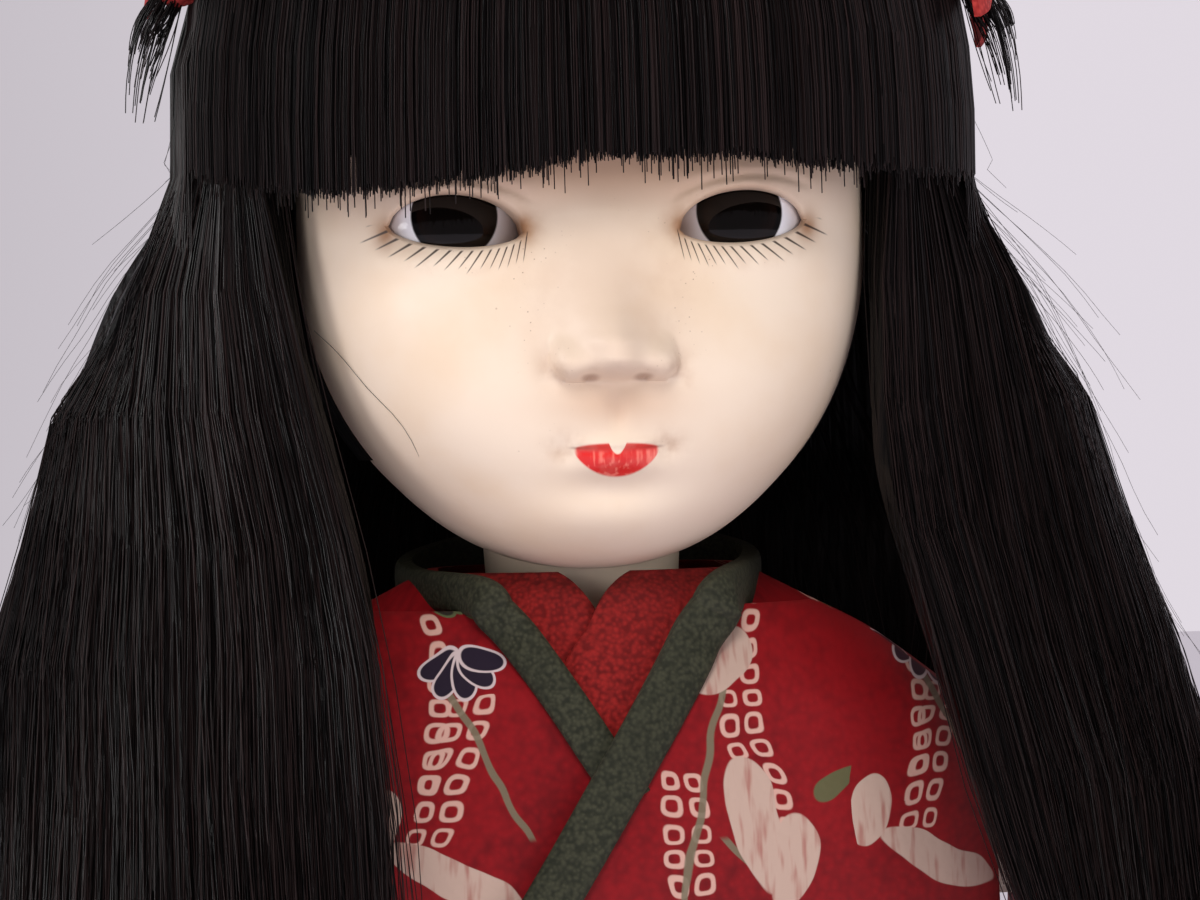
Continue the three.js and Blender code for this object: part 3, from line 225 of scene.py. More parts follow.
class Mould:
    """Gathers the points and faces of one piece and makes its mesh."""

    def __init__(self) -> None:
        """Starts empty."""
        self.points: list[Array] = []
        self.faces: list[Array] = []
        self.flats: list[Array] = []
        self.count = 0

    def keep(self, points: Array, faces: list[Array], flats: list[Array]) -> None:
        """Adds a closed body, turned so that its faces point out.

        Args:
            points: Its points.
            faces: Arrays of three or four corners each.
            flats: The place of each corner on the flat cloth, one array for each of faces.
        """
        volume = 0.0
        for f in faces:
            for k in range(1, f.shape[1] - 1):
                a, b, c = points[f[:, 0]], points[f[:, k]], points[f[:, k + 1]]
                volume += float(np.einsum("ij,ij->", a, np.cross(b, c)))
        for f, flat in zip(faces, flats):
            self.faces.append((f[:, ::-1] if volume < 0 else f) + self.count)
            self.flats.append(flat[:, ::-1] if volume < 0 else flat)
        self.points.append(points)
        self.count += len(points)

    @staticmethod
    def _cells(rows: int, columns: int, wrap: bool) -> tuple[Array, Array]:
        """Corners of the cells of a grid.

        Args:
            rows: Points along the first way.
            columns: Points along the second way.
            wrap: True where the last column meets the first.

        Returns:
            The corners, and the same corners in a grid whose last column isn't wrapped.
        """
        j, i = np.mgrid[0:rows - 1, 0:columns if wrap else columns - 1]
        i, j = i.ravel(), j.ravel()
        k = (i + 1) % columns
        corners = np.stack([j * columns + i, j * columns + k, (j + 1) * columns + k, (j + 1) * columns + i], 1)
        wide = columns + 1 if wrap else columns
        plain = np.stack([j * wide + i, j * wide + i + 1, (j + 1) * wide + i + 1, (j + 1) * wide + i], 1)
        return corners, plain

    def shell(self, outer: Array, inner: Array, flat: Optional[Array] = None, wrap: bool = False) -> "Mould":
        """Adds a sheet with thickness between two grids of points.

        Args:
            outer: Points of the outer face, rows by columns.
            inner: Points of the inner face.
            flat: Place on the flat cloth in millimetres; one more column than outer where it wraps.
            wrap: True where the last column meets the first.

        Returns:
            The mould.
        """
        rows, columns = outer.shape[:2]
        wide = columns + 1 if wrap else columns
        if flat is None:
            flat = np.stack(np.meshgrid(np.arange(wide), np.arange(rows)), -1).astype(float)
        flat = np.broadcast_to(flat, (rows, wide, 2)).reshape(-1, 2)
        cells, plain = self._cells(rows, columns, wrap)
        half = rows * columns
        rims = [(np.arange(columns + wrap) % columns, np.arange(wide)),
                ((rows - 1) * columns + (np.arange(columns + wrap) % columns)[::-1],
                 (rows - 1) * wide + np.arange(wide)[::-1])]
        if not wrap:
            up = np.arange(rows)
            rims += [(up[::-1] * columns, up[::-1] * wide), (up * columns + columns - 1, up * wide + wide - 1)]
        faces = [cells, cells[:, ::-1] + half]
        flats = [flat[plain], flat[plain[:, ::-1]]]
        for line, plain_line in rims:
            a, b = line[:-1], line[1:]
            faces.append(np.stack([b, a, a + half, b + half], 1))
            pa, pb = plain_line[:-1], plain_line[1:]
            flats.append(flat[np.stack([pb, pa, pa, pb], 1)])
        self.keep(np.concatenate([outer.reshape(-1, 3), inner.reshape(-1, 3)]), faces, flats)
        return self

    def loft(self, rings: Array, flat: Optional[Array] = None) -> "Mould":
        """Adds a body through a stack of rings, closed by a fan at each end.

        Args:
            rings: Points, ring by ring.
            flat: Place on the flat cloth, with one more column than the rings.

        Returns:
            The mould.
        """
        rows, columns = rings.shape[:2]
        if flat is None:
            flat = np.stack(np.meshgrid(np.arange(columns + 1), np.arange(rows)), -1).astype(float)
        flat = flat.reshape(-1, 2)
        cells, plain = self._cells(rows, columns, True)
        points = np.concatenate([rings.reshape(-1, 3), rings[:1].mean(1), rings[-1:].mean(1)])
        i = np.arange(columns)
        k = (i + 1) % columns
        low = np.stack([k, i, np.full(columns, rows * columns)], 1)
        top = (rows - 1) * columns
        high = np.stack([top + i, top + k, np.full(columns, rows * columns + 1)], 1)
        last = (rows - 1) * (columns + 1)
        flats = [flat[plain], flat[np.stack([i + 1, i, i], 1)], flat[last + np.stack([i, i + 1, i], 1)]]
        self.keep(points, [cells, low, high], flats)
        return self

    def tube(self, path: Array, radius: Numbers, sides: int = 12, flatness: float = 1.0,
             up: Sequence[float] = (0, 0, 1)) -> "Mould":
        """Adds a round body along a path.

        Args:
            path: Points along its middle.
            radius: Radius at each point, or one for all.
            sides: Points round it.
            flatness: Thickness across the path and up, as a share of the width.
            up: The direction that is kept across the path.

        Returns:
            The mould.
        """
        along = unit(np.gradient(path, axis=0))
        across = np.cross(along, np.array(up, float))
        across /= np.linalg.norm(across, axis=1)[:, None] + 1e-12
        third = np.cross(across, along)
        turn = turns(sides)[None, :, None]
        radius = np.broadcast_to(radius, len(path))[:, None, None]
        rings = path[:, None] + radius * (np.cos(turn) * across[:, None] + flatness * np.sin(turn) * third[:, None])
        return self.loft(rings)

    def piece(self, name: str, finish: "Finish", crease: float = 60.0) -> bpy.types.Object:
        """Makes the mesh and its object.

        Args:
            name: Name of the piece.
            finish: Its finish.
            crease: Edges sharper than this many degrees stay sharp.

        Returns:
            The new object, at the origin.
        """
        mesh = bpy.data.meshes.new(name)
        points = np.concatenate(self.points) * MM
        sizes = np.concatenate([np.full(len(f), f.shape[1]) for f in self.faces])
        corners = np.concatenate([f.ravel() for f in self.faces])
        mesh.vertices.add(len(points))
        mesh.vertices.foreach_set("co", points.ravel())
        mesh.loops.add(len(corners))
        mesh.loops.foreach_set("vertex_index", corners.astype(np.int32))
        mesh.polygons.add(len(sizes))
        mesh.polygons.foreach_set("loop_start", (np.cumsum(sizes) - sizes).astype(np.int32))
        layer = mesh.uv_layers.new(name="Flat")
        flats = np.concatenate([f.reshape(-1, 2) for f in self.flats]) * MM
        layer.uv.foreach_set("vector", flats.astype(np.float32).ravel())
        mesh.update(calc_edges=True)
        mesh.validate()
        return dress(mesh, name, finish, crease)


def dress(mesh: bpy.types.Mesh, name: str, finish: "Finish", crease: float = 60.0) -> bpy.types.Object:
    """Puts a mesh in the scene with its finish and smooth shading.

    Args:
        mesh: The mesh.
        name: Name of the object.
        finish: Its finish.
        crease: Edges sharper than this many degrees stay sharp.

    Returns:
        The object.
    """
    mesh.shade_smooth()
    mesh.set_sharp_from_angle(angle=math.radians(crease))
    mesh.materials.clear()
    mesh.materials.append(finish.material())
    obj = bpy.data.objects.new(name, mesh)
    bpy.context.scene.collection.objects.link(obj)
    return obj


def settle(obj: bpy.types.Object) -> bpy.types.Object:
    """Turns an object's evaluated shape into its own plain mesh.

    Args:
        obj: An object with modifiers.

    Returns:
        The same object, without modifiers.
    """
    bpy.context.view_layer.update()
    graph = bpy.context.evaluated_depsgraph_get()
    mesh = bpy.data.meshes.new_from_object(obj.evaluated_get(graph))
    obj.modifiers.clear()
    old = obj.data
    obj.data = mesh
    bpy.data.meshes.remove(old)
    mesh.name = obj.name
    return obj


def carve(obj: bpy.types.Object, tool: bpy.types.Object, operation: str = "DIFFERENCE") -> bpy.types.Object:
    """Cuts or joins one solid with another and removes the tool.

    Args:
        obj: The piece.
        tool: The other solid.
        operation: Name of the boolean operation.

    Returns:
        The piece.
    """
    cut = obj.modifiers.new("cut", "BOOLEAN")
    cut.operation = operation
    cut.solver = "EXACT"
    cut.object = tool
    settle(obj)
    bpy.data.objects.remove(tool)
    return obj


# Shaders

def math_node(operation: str, swap: bool = False) -> Callable[..., "Value"]:
    """Makes a method of Value that adds one Math node.

    Args:
        operation: The node's operation.
        swap: True where the other number comes first.

    Returns:
        The method, of the value itself and, where the operation takes one, another number.
    """
    def method(self: "Value", other: Number = 0.0) -> "Value":
        """Adds the node."""
        first, second = (other, self) if swap else (self, other)
        return self.shader.node("ShaderNodeMath", {"operation": operation}, {"Value": first, "Value_001": second})

    return method


class Value:
    """One output of a shader node, with arithmetic on plain numbers."""

    def __init__(self, shader: "Shader", socket: bpy.types.NodeSocket) -> None:
        """Wraps a socket."""
        self.shader = shader
        self.socket = socket

    __add__ = __radd__ = math_node("ADD")
    __sub__ = math_node("SUBTRACT")
    __rsub__ = math_node("SUBTRACT", swap=True)
    __mul__ = __rmul__ = math_node("MULTIPLY")
    __truediv__ = math_node("DIVIDE")
    __pow__ = math_node("POWER")
    __abs__ = math_node("ABSOLUTE")
    floor = math_node("FLOOR")
    part = math_node("FRACT")  # what is left after the whole part
    sin = math_node("SINE")
    exp = math_node("EXPONENT")
    least = math_node("MINIMUM")
    most = math_node("MAXIMUM")
    angle = math_node("ARCTAN2")  # whose tangent is the value over the other number

    def over(self, low: Number, high: Number) -> "Value":
        """A smooth step from 0 at low to 1 at high."""
        return self.shader.node("ShaderNodeMapRange", {"interpolation_type": "SMOOTHSTEP"},
                                {"Value": self, "From Min": low, "From Max": high})

    def bell(self, width: float) -> "Value":
        """A smooth bump of height 1 where the value is 0."""
        return ((self / width) ** 2 * -0.5).exp()

    def line(self, half: Number, soft: float) -> "Value":
        """1 where the value is within half of 0, with a soft edge."""
        return 1 - (abs(self) - half).over(-soft, soft)


Colour = tuple[float, float, float, float]


def tint(red: int, green: int, blue: int) -> Colour:
    """A colour from its screen numbers, 0 to 255.

    Args:
        red: Red.
        green: Green.
        blue: Blue.

    Returns:
        The colour as light.
    """
    def linear(c: float) -> float:
        """One channel as light."""
        return c / 12.92 if c <= 0.04045 else ((c + 0.055) / 1.055) ** 2.4
    return linear(red / 255), linear(green / 255), linear(blue / 255), 1.0


class Shader:
    """Builds a node tree: a material's, the world's or a geometry tree."""

    def __init__(self, tree: bpy.types.NodeTree) -> None:
        """Starts on an empty tree."""
        self.tree = tree

    def node(self, kind: str, settings: Optional[dict] = None, sockets: Optional[dict] = None,
             out: str = "") -> Value:
        """Adds a node.

        Args:
            kind: The node's type.
            settings: Properties, which are set first.
            sockets: A number, colour, vector or Value for each socket, by identifier.
            out: Identifier of the output to use; the first one if it isn't given.

        Returns:
            That output.
        """
        made = self.tree.nodes.new(kind)
        for key, value in (settings or {}).items():
            setattr(made, key, value)
        inputs = {s.identifier: s for s in made.inputs}
        for key, value in (sockets or {}).items():
            if isinstance(value, Value):
                self.tree.links.new(value.socket, inputs[key])
            else:
                inputs[key].default_value = value
        outputs = {s.identifier: s for s in made.outputs}
        return Value(self, outputs.get(out, next(iter(made.outputs), None)))

    def place(self) -> Value:
        """The piece's own coordinates, in metres."""
        return self.node("ShaderNodeTexCoord", out="Object")

    def cloth(self) -> Value:
        """The place on the flat cloth, in metres."""
        return self.node("ShaderNodeUVMap", {"uv_map": "Flat"})

    def split(self, vector: Value, drop: float = 0.0) -> tuple[Value, Value, Value]:
        """The three parts of a vector in millimetres, the last less drop."""
        parts = [self.node("ShaderNodeSeparateXYZ", {}, {"Vector": vector}, axis) * (1 / MM) for axis in "XYZ"]
        return parts[0], parts[1], parts[2] - drop

    def join(self, x: Number, y: Number, z: Number = 0.0) -> Value:
        """A vector from three numbers."""
        return self.node("ShaderNodeCombineXYZ", {}, {"X": x, "Y": y, "Z": z})

    def stretch(self, vector: Value, scale: Sequence[float]) -> Value:
        """A vector scaled along each axis."""
        return self.node("ShaderNodeVectorMath", {"operation": "MULTIPLY"},
                         {"Vector": vector, "Vector_001": tuple(scale)})

    def noise(self, vector: Value, scale: float, detail: float = 3.0, rough: float = 0.5) -> Value:
        """Soft noise from 0 to 1."""
        return self.node("ShaderNodeTexNoise", {"noise_dimensions": "3D"},
                         {"Vector": vector, "Scale": scale, "Detail": detail, "Roughness": rough})

    def cells(self, vector: Value, scale: float, feature: str = "F1") -> Value:
        """Distance to the nearest of many scattered points."""
        return self.node("ShaderNodeTexVoronoi", {"feature": feature}, {"Vector": vector, "Scale": scale},
                         "Distance")

    def chance(self, vector: Value) -> Value:
        """A number from 0 to 1 that jumps from place to place."""
        return self.node("ShaderNodeTexWhiteNoise", {"noise_dimensions": "2D"}, {"Vector": vector}, "Value")

    def blend(self, under: Union[Colour, Value], over: Union[Colour, Value], share: Number) -> Value:
        """One colour laid over another."""
        return self.node("ShaderNodeMix", {"data_type": "RGBA", "clamp_factor": True},
                         {"Factor_Float": share, "A_Color": under, "B_Color": over}, "Result_Color")

    def bump(self, height: Value, depth: float, strength: float = 1.0) -> Value:
        """A normal from a height that is 0 to 1 over depth millimetres."""
        return self.node("ShaderNodeBump", {}, {"Height": height, "Distance": depth * MM, "Strength": strength})

    def surface(self, **sockets: Union[Number, Colour]) -> Value:
        """The main shader; Base_Color stands for its socket Base Color."""
        return self.node("ShaderNodeBsdfPrincipled", {}, {k.replace("_", " "): v for k, v in sockets.items()})


class Finish:
    """A finish that makes its material once."""

    made: dict["Finish", bpy.types.Material] = {}

    def material(self) -> bpy.types.Material:
        """Makes the material, or gives the one made before.

        Returns:
            The material.
        """
        if self not in Finish.made:
            material = bpy.data.materials.new(type(self).__name__.lower())
            material.use_nodes = True
            material.node_tree.nodes.clear()
            shader = Shader(material.node_tree)
            shader.node("ShaderNodeOutputMaterial", {}, {"Surface": self.paint(shader)})
            Finish.made[self] = material
        return Finish.made[self]

    def paint(self, s: Shader) -> Value:
        """Builds the nodes and returns the surface."""
        raise NotImplementedError


IVORY = tint(239, 219, 198)
IVORY_WARM = tint(229, 200, 168)


@dataclass(frozen=True)
class Gofun(Finish):
    """Polished shell-white over a moulding, ivory with age."""

    roughness: float = 0.42

    def skin(self, s: Shader) -> tuple[Value, Value]:
        """The plain coat.

        Args:
            s: The shader.

        Returns:
            Its colour and a height for its bump.
        """
        at = s.place()
        cloud = s.noise(at, 70, 4).over(0.35, 0.75)
        specks = 1 - s.cells(at, 260).over(0.02, 0.045)
        chosen = s.noise(at, 90, 1).over(0.52, 0.6)
        colour = s.blend(IVORY, IVORY_WARM, cloud * 0.55)
        colour = s.blend(colour, tint(150, 110, 80), specks * chosen * 0.45)
        return colour, s.noise(at, 900, 2)

    def paint(self, s: Shader) -> Value:
        """Builds the plain coat.

        Args:
            s: The shader.

        Returns:
            The surface.
        """
        colour, grain = self.skin(s)
        return s.surface(Base_Color=colour, Roughness=self.roughness, Normal=s.bump(grain, 0.02, 0.35),
                         Specular_IOR_Level=0.45)


@dataclass(frozen=True)
class GofunFace(Gofun):
    """The face: painted lips and lower lashes, dust round the features, and painted shade and highlight on brow,
    nose and lips.
    """

    mouth_z: float = MOUTH_Z
    lip_half: float = 4.8
    eye_x: float = EYE_X
    eye_z: float = EYE_Z
    eye_half: float = EYE_HALF
    eye_low: float = EYE_LOW
    lash_fan: float = 7.0
    lash_length: float = 1.9
    drift: float = FACE_DRIFT

    def lips(self, x: Value, z: Value) -> tuple[Value, Value, Value]:
        """Where the lips are painted.

        Args:
            x: Across the face.
            z: Above the chin.

        Returns:
            Masks for the upper lip, for the lower lip and for the seam between them.
        """
        side = abs(x)
        line = x * x * 0.008 + self.mouth_z
        inside = (1 - (x / self.lip_half) ** 2).most(0.0)
        drop = line + 0.95 - (1 - side ** 2).most(0.0) * 1.3
        within = (self.lip_half - side).over(0.0, 0.5) * (drop - z).over(-0.1, 0.2).most(side.over(0.96, 1.04))
        lower = (z - line + inside ** 0.7 * 2.9).over(-0.15, 0.2) * (line - z).over(-0.35, 0.35) * within
        upper = (line + inside ** 0.5 * 0.85 - z).over(-0.12, 0.2) * (z - line).over(-0.35, 0.35) * within
        seam = (z - line - 0.2).line(0.08, 0.2) * side.over(1.8, 4.4) * (5.6 - side).over(0.0, 1.0)
        return upper, lower, seam

    def lashes(self, s: Shader, z: Value, side: Value) -> Value:
        """Fine strokes below each eye, upright at the nose and leaning out towards the temple.

        Args:
            s: The shader.
            z: Above the chin.
            side: Distance from the middle.

        Returns:
            A mask.
        """
        off = side - self.eye_x
        rise = z - self.eye_z - off * 0.084
        wide, low = (self.eye_half + 0.3) ** 2, (self.eye_low + 0.45) ** 2
        round_eye = off * off / wide + rise * rise / low
        slope = ((off / wide) ** 2 + (rise / low) ** 2) ** 0.5 * 2
        beyond = (round_eye - 1) / slope
        lean = (off + 8.9).angle(self.lash_fan - rise)
        fan = lean * LASH_PITCH
        long = s.chance(s.join(fan.floor(), 2.5)) * 0.55 + (self.lash_length - 0.3)
        thick = 0.13 - beyond / long * 0.1
        stroke = (fan.part() - 0.5).line(thick, 0.06) * beyond.over(-0.1, 0.15) * (long - beyond).over(0.0, 0.4)
        return stroke * (0.2 - rise).over(0.0, 0.4) * (lean - 0.7).line(0.56, 0.02)

    def paint(self, s: Shader) -> Value:
        """Builds the face.

        Args:
            s: The shader.

        Returns:
            The surface.
        """
        colour, grain = self.skin(s)
        x, y, z = s.split(s.place(), CHIN)
        side = abs(x)
        front = (y * -1).over(14.0, 20.0)
        fine = s.noise(s.place(), 420, 3)
        eye = (((side - self.eye_x) / 9.2) ** 2 + ((z - self.eye_z) / 5.0) ** 2).over(1.35, 0.75)
        corner = ((side - self.eye_x + 7.4).bell(1.0) + (side - self.eye_x - 7.7).bell(0.9)) * \
            (z - self.eye_z + 0.2).bell(1.1)
        x = x - (30 - z).over(0.0, 10.0) * self.drift
        near = abs(x)
        nose = (near - 6.8).bell(1.2) * (z - 21.0).bell(1.4)
        nostril = (near - 2.9).bell(0.85) * (z - 20.5).bell(0.36)
        bridge = (side - 7).bell(3.5) * (z - 31).bell(7.0)
        mouth = (near - 5.6).bell(1.5) * (z - 12.9).bell(1.2)
        dirt = (eye * 0.16 + bridge * 0.1 + nose * 0.4 + mouth * 0.5) * fine.over(0.3, 0.75) + corner * 0.9
        colour = s.blend(colour, tint(166, 120, 84), dirt * front)
        # Painted shade: the fringe's shadow across the brow, shade under the nose and shade down the ridge of the
        # nose.
        under_nose_shade = near.bell(5.5) * (z - 17.6).bell(1.9)
        brow = x.bell(22) * (z - 43).over(-6.5, 1.0) * 1.4
        ridge = near.bell(5.5) * (z - 30).bell(9) * 0.55
        shade = under_nose_shade.most(brow).most(ridge)
        colour = s.blend(colour, tint(196, 158, 132), shade * 0.62 * front)
        dust = (1 - s.cells(s.place(), 1500).over(0.07, 0.16)) * s.noise(s.place(), 190, 2).over(0.5, 0.62)
        colour = s.blend(colour, tint(150, 118, 96), dust * (bridge + eye * 0.3 + mouth * 0.7).least(0.7) * front)
        colour = s.blend(colour, tint(120, 66, 42), nostril.over(0.2, 0.9) * 0.5 * front)
        upper, lower, seam = self.lips(x, z)
        # Painted highlights: paler pink streaks down the lower lip. Painted shade: the upper lip a darker
        # orange-red.
        streak = s.noise(s.stretch(s.place(), (1, 1, 0.1)), 1700, 1)
        red = s.blend(tint(218, 40, 38), tint(243, 124, 108), streak.over(0.5, 0.74) * lower * 0.8)
        red = s.blend(red, tint(204, 54, 42), upper * 0.8)
        colour = s.blend(colour, red, (upper + lower).least(1.0) * (0.72 + fine * 0.5) * front)
        colour = s.blend(colour, tint(110, 44, 28), seam * 0.6 * front)
        colour = s.blend(colour, tint(46, 30, 24), self.lashes(s, z, side) * 0.92 * front)
        rough = self.roughness - lower * 0.14 + fine * 0.06
        return s.surface(Base_Color=colour, Roughness=rough, Normal=s.bump(grain, 0.02, 0.35),
                         Specular_IOR_Level=0.45)


@dataclass(frozen=True)
class EyeGlass(Finish):
    """White glass with a black-brown iris set in it, under a clear gloss."""

    eye_x: float = EYE_X
    iris_z: float = 39.0
    iris: float = 4.85

    def paint(self, s: Shader) -> Value:
        """Builds the eye.

        Args:
            s: The shader.

        Returns:
            The surface.
        """
        x, _, z = s.split(s.place(), CHIN)
        side = abs(x) - self.eye_x
        out = (side ** 2 + (z - self.iris_z) ** 2) ** 0.5
        dark = (self.iris - out).over(-0.12, 0.12)
        rim = (out - self.iris + 0.35).line(0.3, 0.2)
        grain = s.noise(s.place(), 500, 2)
        # The white darkens to brown towards both corners of the eye.
        towards_corners = abs(side).over(4.6, 7.2)
        white = s.blend(tint(242, 240, 246), tint(150, 116, 92), towards_corners * (grain * 0.5 + 0.25))
        brown = s.blend(tint(9, 6, 5), tint(26, 14, 10), (out / self.iris).over(0.5, 0.9) * grain)
        colour = s.blend(white, s.blend(brown, tint(5, 4, 4), rim), dark)
        return s.surface(Base_Color=colour, Roughness=0.1, Specular_IOR_Level=0.22,
                         Coat_Weight=0.3, Coat_Roughness=0.03)


@dataclass(frozen=True)
class Hair(Finish):
    """Silk hair, brown-black, with a strand-wise sheen."""

    strands: bool = False

    def paint(self, s: Shader) -> Value:
        """Builds the hair, from its own tone where it is in strands.

        Args:
            s: The shader.

        Returns:
            The surface.
        """
        at = s.place()
        if self.strands:
            tone = s.node("ShaderNodeAttribute", {"attribute_name": "tone"}, {}, "Fac")
            colour = s.blend(tint(5, 4, 4), tint(42, 30, 29), tone)
            return s.surface(Base_Color=colour, Roughness=0.34 + tone * 0.14, Specular_IOR_Level=0.34)
        fall = s.noise(s.stretch(at, (900, 900, 18)), 1.0, 3)
        colour = s.blend(tint(4, 3, 3), tint(16, 11, 11), fall.over(0.45, 0.75))
        return s.surface(Base_Color=colour, Roughness=0.42, Normal=s.bump(fall, 0.5, 0.9),
                         Specular_IOR_Level=0.25)


@dataclass(frozen=True)
class Crepe(Finish):
    """Crinkled silk of one colour, with painted shade in the hollows of its crinkle."""

    colour: Colour
    # deep: the colour painted into the crinkle's hollows as shade.
    deep: Colour
    grain: float = 0.55  # size of the crinkle in millimetres
    relief: float = 0.16

    def paint(self, s: Shader) -> Value:
        """Builds the crepe.

        Args:
            s: The shader.

        Returns:
            The surface.
        """
        at = s.place()
        scale = 1000.0 / self.grain
        wave = s.noise(at, scale * 0.35, 2)
        pebble = 1 - s.cells(at, scale * 0.8, "SMOOTH_F1") * 1.3
        height = pebble * 0.65 + wave * 0.5
        worn = s.noise(at, 60, 3).over(0.3, 0.8)
        # Painted shade: the crinkle's hollows take the deep colour, lightened in worn places.
        colour = s.blend(self.deep, self.colour, height.over(0.25, 0.85) * (0.7 + worn * 0.3))
        return s.surface(Base_Color=colour, Roughness=0.82, Normal=s.bump(height, self.relief, 1.0),
                         Sheen_Weight=0.25, Sheen_Roughness=0.5, Sheen_Tint=self.colour)


@dataclass(frozen=True)
class PrintedSilk(Finish):
    """Red crepe printed with ring chains, stems, blossoms and pale leaves that repeat over the cloth."""

    ground: Colour = tint(134, 13, 20)
    # deep: painted into the crinkle's hollows as shade, and into worn patches.
    deep: Colour = tint(86, 6, 12)
    pale: Colour = tint(204, 160, 146)
    stem: Colour = tint(112, 104, 84)
    navy: Colour = tint(34, 26, 40)
    sprig: Colour = tint(86, 92, 62)
    ring: float = 2.9  # spacing of the rings
    repeat_x: float = 56.0
    repeat_z: float = 78.0

    def rings(self, s: Shader, u: Value, v: Value) -> Value:
        """Tied-dye rings, rounded squares with an open middle.

        Args:
            s: The shader.
            u: Along the chain.
            v: Across the chain.

        Returns:
            A mask.
        """
        cell = s.chance(s.join((u / self.ring).floor(), (v / self.ring).floor()))
        a = (u / self.ring).part() - 0.5
        b = (v / self.ring).part() - 0.5
        square = (abs(a) ** 3 + abs(b) ** 3) ** (1 / 3)
        return (square - 0.3).line(0.07 + cell * 0.035, 0.035)

    def leaf(self, u: Value, v: Value, place: tuple[float, float], turn: float,
             size: tuple[float, float]) -> Value:
        """How far inside a pointed leaf a place is, 1 at its middle and 0 at its edge.

        Args:
            u: Across the cloth.
            v: Up the cloth.
            place: Middle of the leaf.
            turn: Lean of its length from upright, in degrees.
            size: Half-width and half-length.

        Returns:
            A number that is negative outside.
        """
        c, n = math.cos(math.radians(turn)), math.sin(math.radians(turn))
        along = (v - place[1]) * c + (u - place[0]) * n
        across = (u - place[0]) * c - (v - place[1]) * n
        return 1 - (across / size[0]) ** 2 - abs(along / size[1]) ** 2.6

    def paint(self, s: Shader) -> Value:
        """Builds the print.

        Args:
            s: The shader.

        Returns:
            The surface.
        """
        u, v, _ = s.split(s.cloth())
        wave = s.noise(s.cloth(), 420, 2)
        crinkle = 1 - s.cells(s.cloth(), 1250, "SMOOTH_F1") * 1.2
        height = crinkle * 0.6 + wave * 0.5
        worn = s.noise(s.cloth(), 45, 3)
        # Painted shade in the crinkle's hollows, with real mottling from wear; both take the deep red.
        colour = s.blend(self.deep, self.ground, (height * 0.5 + worn * 0.7).over(0.2, 0.8))

        u = u + (s.noise(s.cloth(), 130, 1) - 0.5) * 2.4
        v = v + (s.noise(s.stretch(s.cloth(), (1, -1, 1)), 140, 1) - 0.5) * 2.4
        x = ((u + self.repeat_x / 2) / self.repeat_x).part() * self.repeat_x - self.repeat_x / 2
        y = ((v + self.repeat_z * 0.75) / self.repeat_z).part() * self.repeat_z - self.repeat_z * 0.75

        drift = (y * 0.11).sin() * 3.2
        chains = [self.rings(s, y, across - shift) * across.line(half, 0.02) * (y - middle).line(long, 0.02)
                  for across, shift, half, middle, long in (
                      (x - 8.0 - y * 0.3, 1.45, 1.45, 9, 9), (x - 18.5 - drift, 0.0, 2.85, -18, 16),
                      (x - 6.0 + y * 0.08, 0.0, 2.85, -37, 14), (x + 9.5 - y * 0.35, 0.0, 2.9, -24, 9),
                      (x + 21.0 + drift * 0.8, -1.4, 1.45, -14, 14))]
        marks = reduce(Value.most, chains)
        colour = s.blend(colour, self.pale, marks * 0.95)

        stalk = x - 12.5 - (y + 18) * 0.17 - ((y + 18) * 0.09).sin() * 1.2
        stems = stalk.line(0.42, 0.12) * (y + 17).line(22, 0.5)
        twig = (x - 13.5 + (y + 32) * 0.9).line(0.5, 0.12) * (y + 34.5).line(3.5, 0.4)
        other = (x + 14.5 + (y + 20) * 0.5).line(0.45, 0.12) * (y + 22).line(9, 0.4)
        colour = s.blend(colour, self.stem, stems.most(twig).most(other) * 0.9)
        green = self.leaf(x, y, (26.0, -25.5), 62, (1.3, 3.2)).over(0.0, 0.25)
        colour = s.blend(colour, self.sprig, green * 0.9)

        streak = s.noise(s.stretch(s.cloth(), (1, 0.16, 1)), 900, 2)
        brushed = s.blend(tint(186, 158, 144), tint(156, 94, 84), streak.over(0.5, 0.72) * 0.75)
        for place, turn, size in (((13.5, -11.5), 50, (2.9, 4.6)), ((16.5, -30.0), -16, (3.0, 8.0)),
                                  ((20.5, -34.0), 16, (2.6, 5.5)), ((-17.5, -35.0), -66, (2.2, 8.5)),
                                  ((-26.0, -29.0), 24, (2.4, 4.2)), ((-2.0, 8.0), 30, (2.4, 6.0)),
                                  ((-9.0, -49.5), 24, (2.5, 6.5)), ((-1.5, -52.0), -52, (2.2, 6.0)),
                                  ((19.0, 9.5), -34, (2.5, 6.0)), ((-19.0, 9.0), 62, (2.2, 6.5))):
            inside = self.leaf(x, y, place, turn, size)
            colour = s.blend(colour, brushed, inside.over(0.0, 0.12))
        for turn in (-64, -28, 6, 40, 74):
            place = (-16.0 + 2.6 * math.sin(math.radians(turn)), -10.0 - 2.6 * math.cos(math.radians(turn)))
            petal = self.leaf(x, y, place, -turn, (1.15, 2.5))
            colour = s.blend(colour, tint(196, 176, 176), petal.over(-0.45, -0.25))
            colour = s.blend(colour, self.navy, petal.over(0.0, 0.2))
        for turn in (-60, 0, 60):
            place = (-15.5 + 2.6 * math.sin(math.radians(turn)), -6.0 + 2.0 * math.cos(math.radians(turn)))
            bud = self.leaf(x, y, place, turn, (1.0, 1.9))
            colour = s.blend(colour, self.sprig, bud.over(-0.3, -0.1))
            colour = s.blend(colour, tint(40, 40, 34), bud.over(0.15, 0.4))
        return s.surface(Base_Color=colour, Roughness=0.74, Normal=s.bump(height, 0.1, 0.8), Sheen_Weight=0.2,
                         Sheen_Roughness=0.45, Sheen_Tint=tint(190, 70, 66))


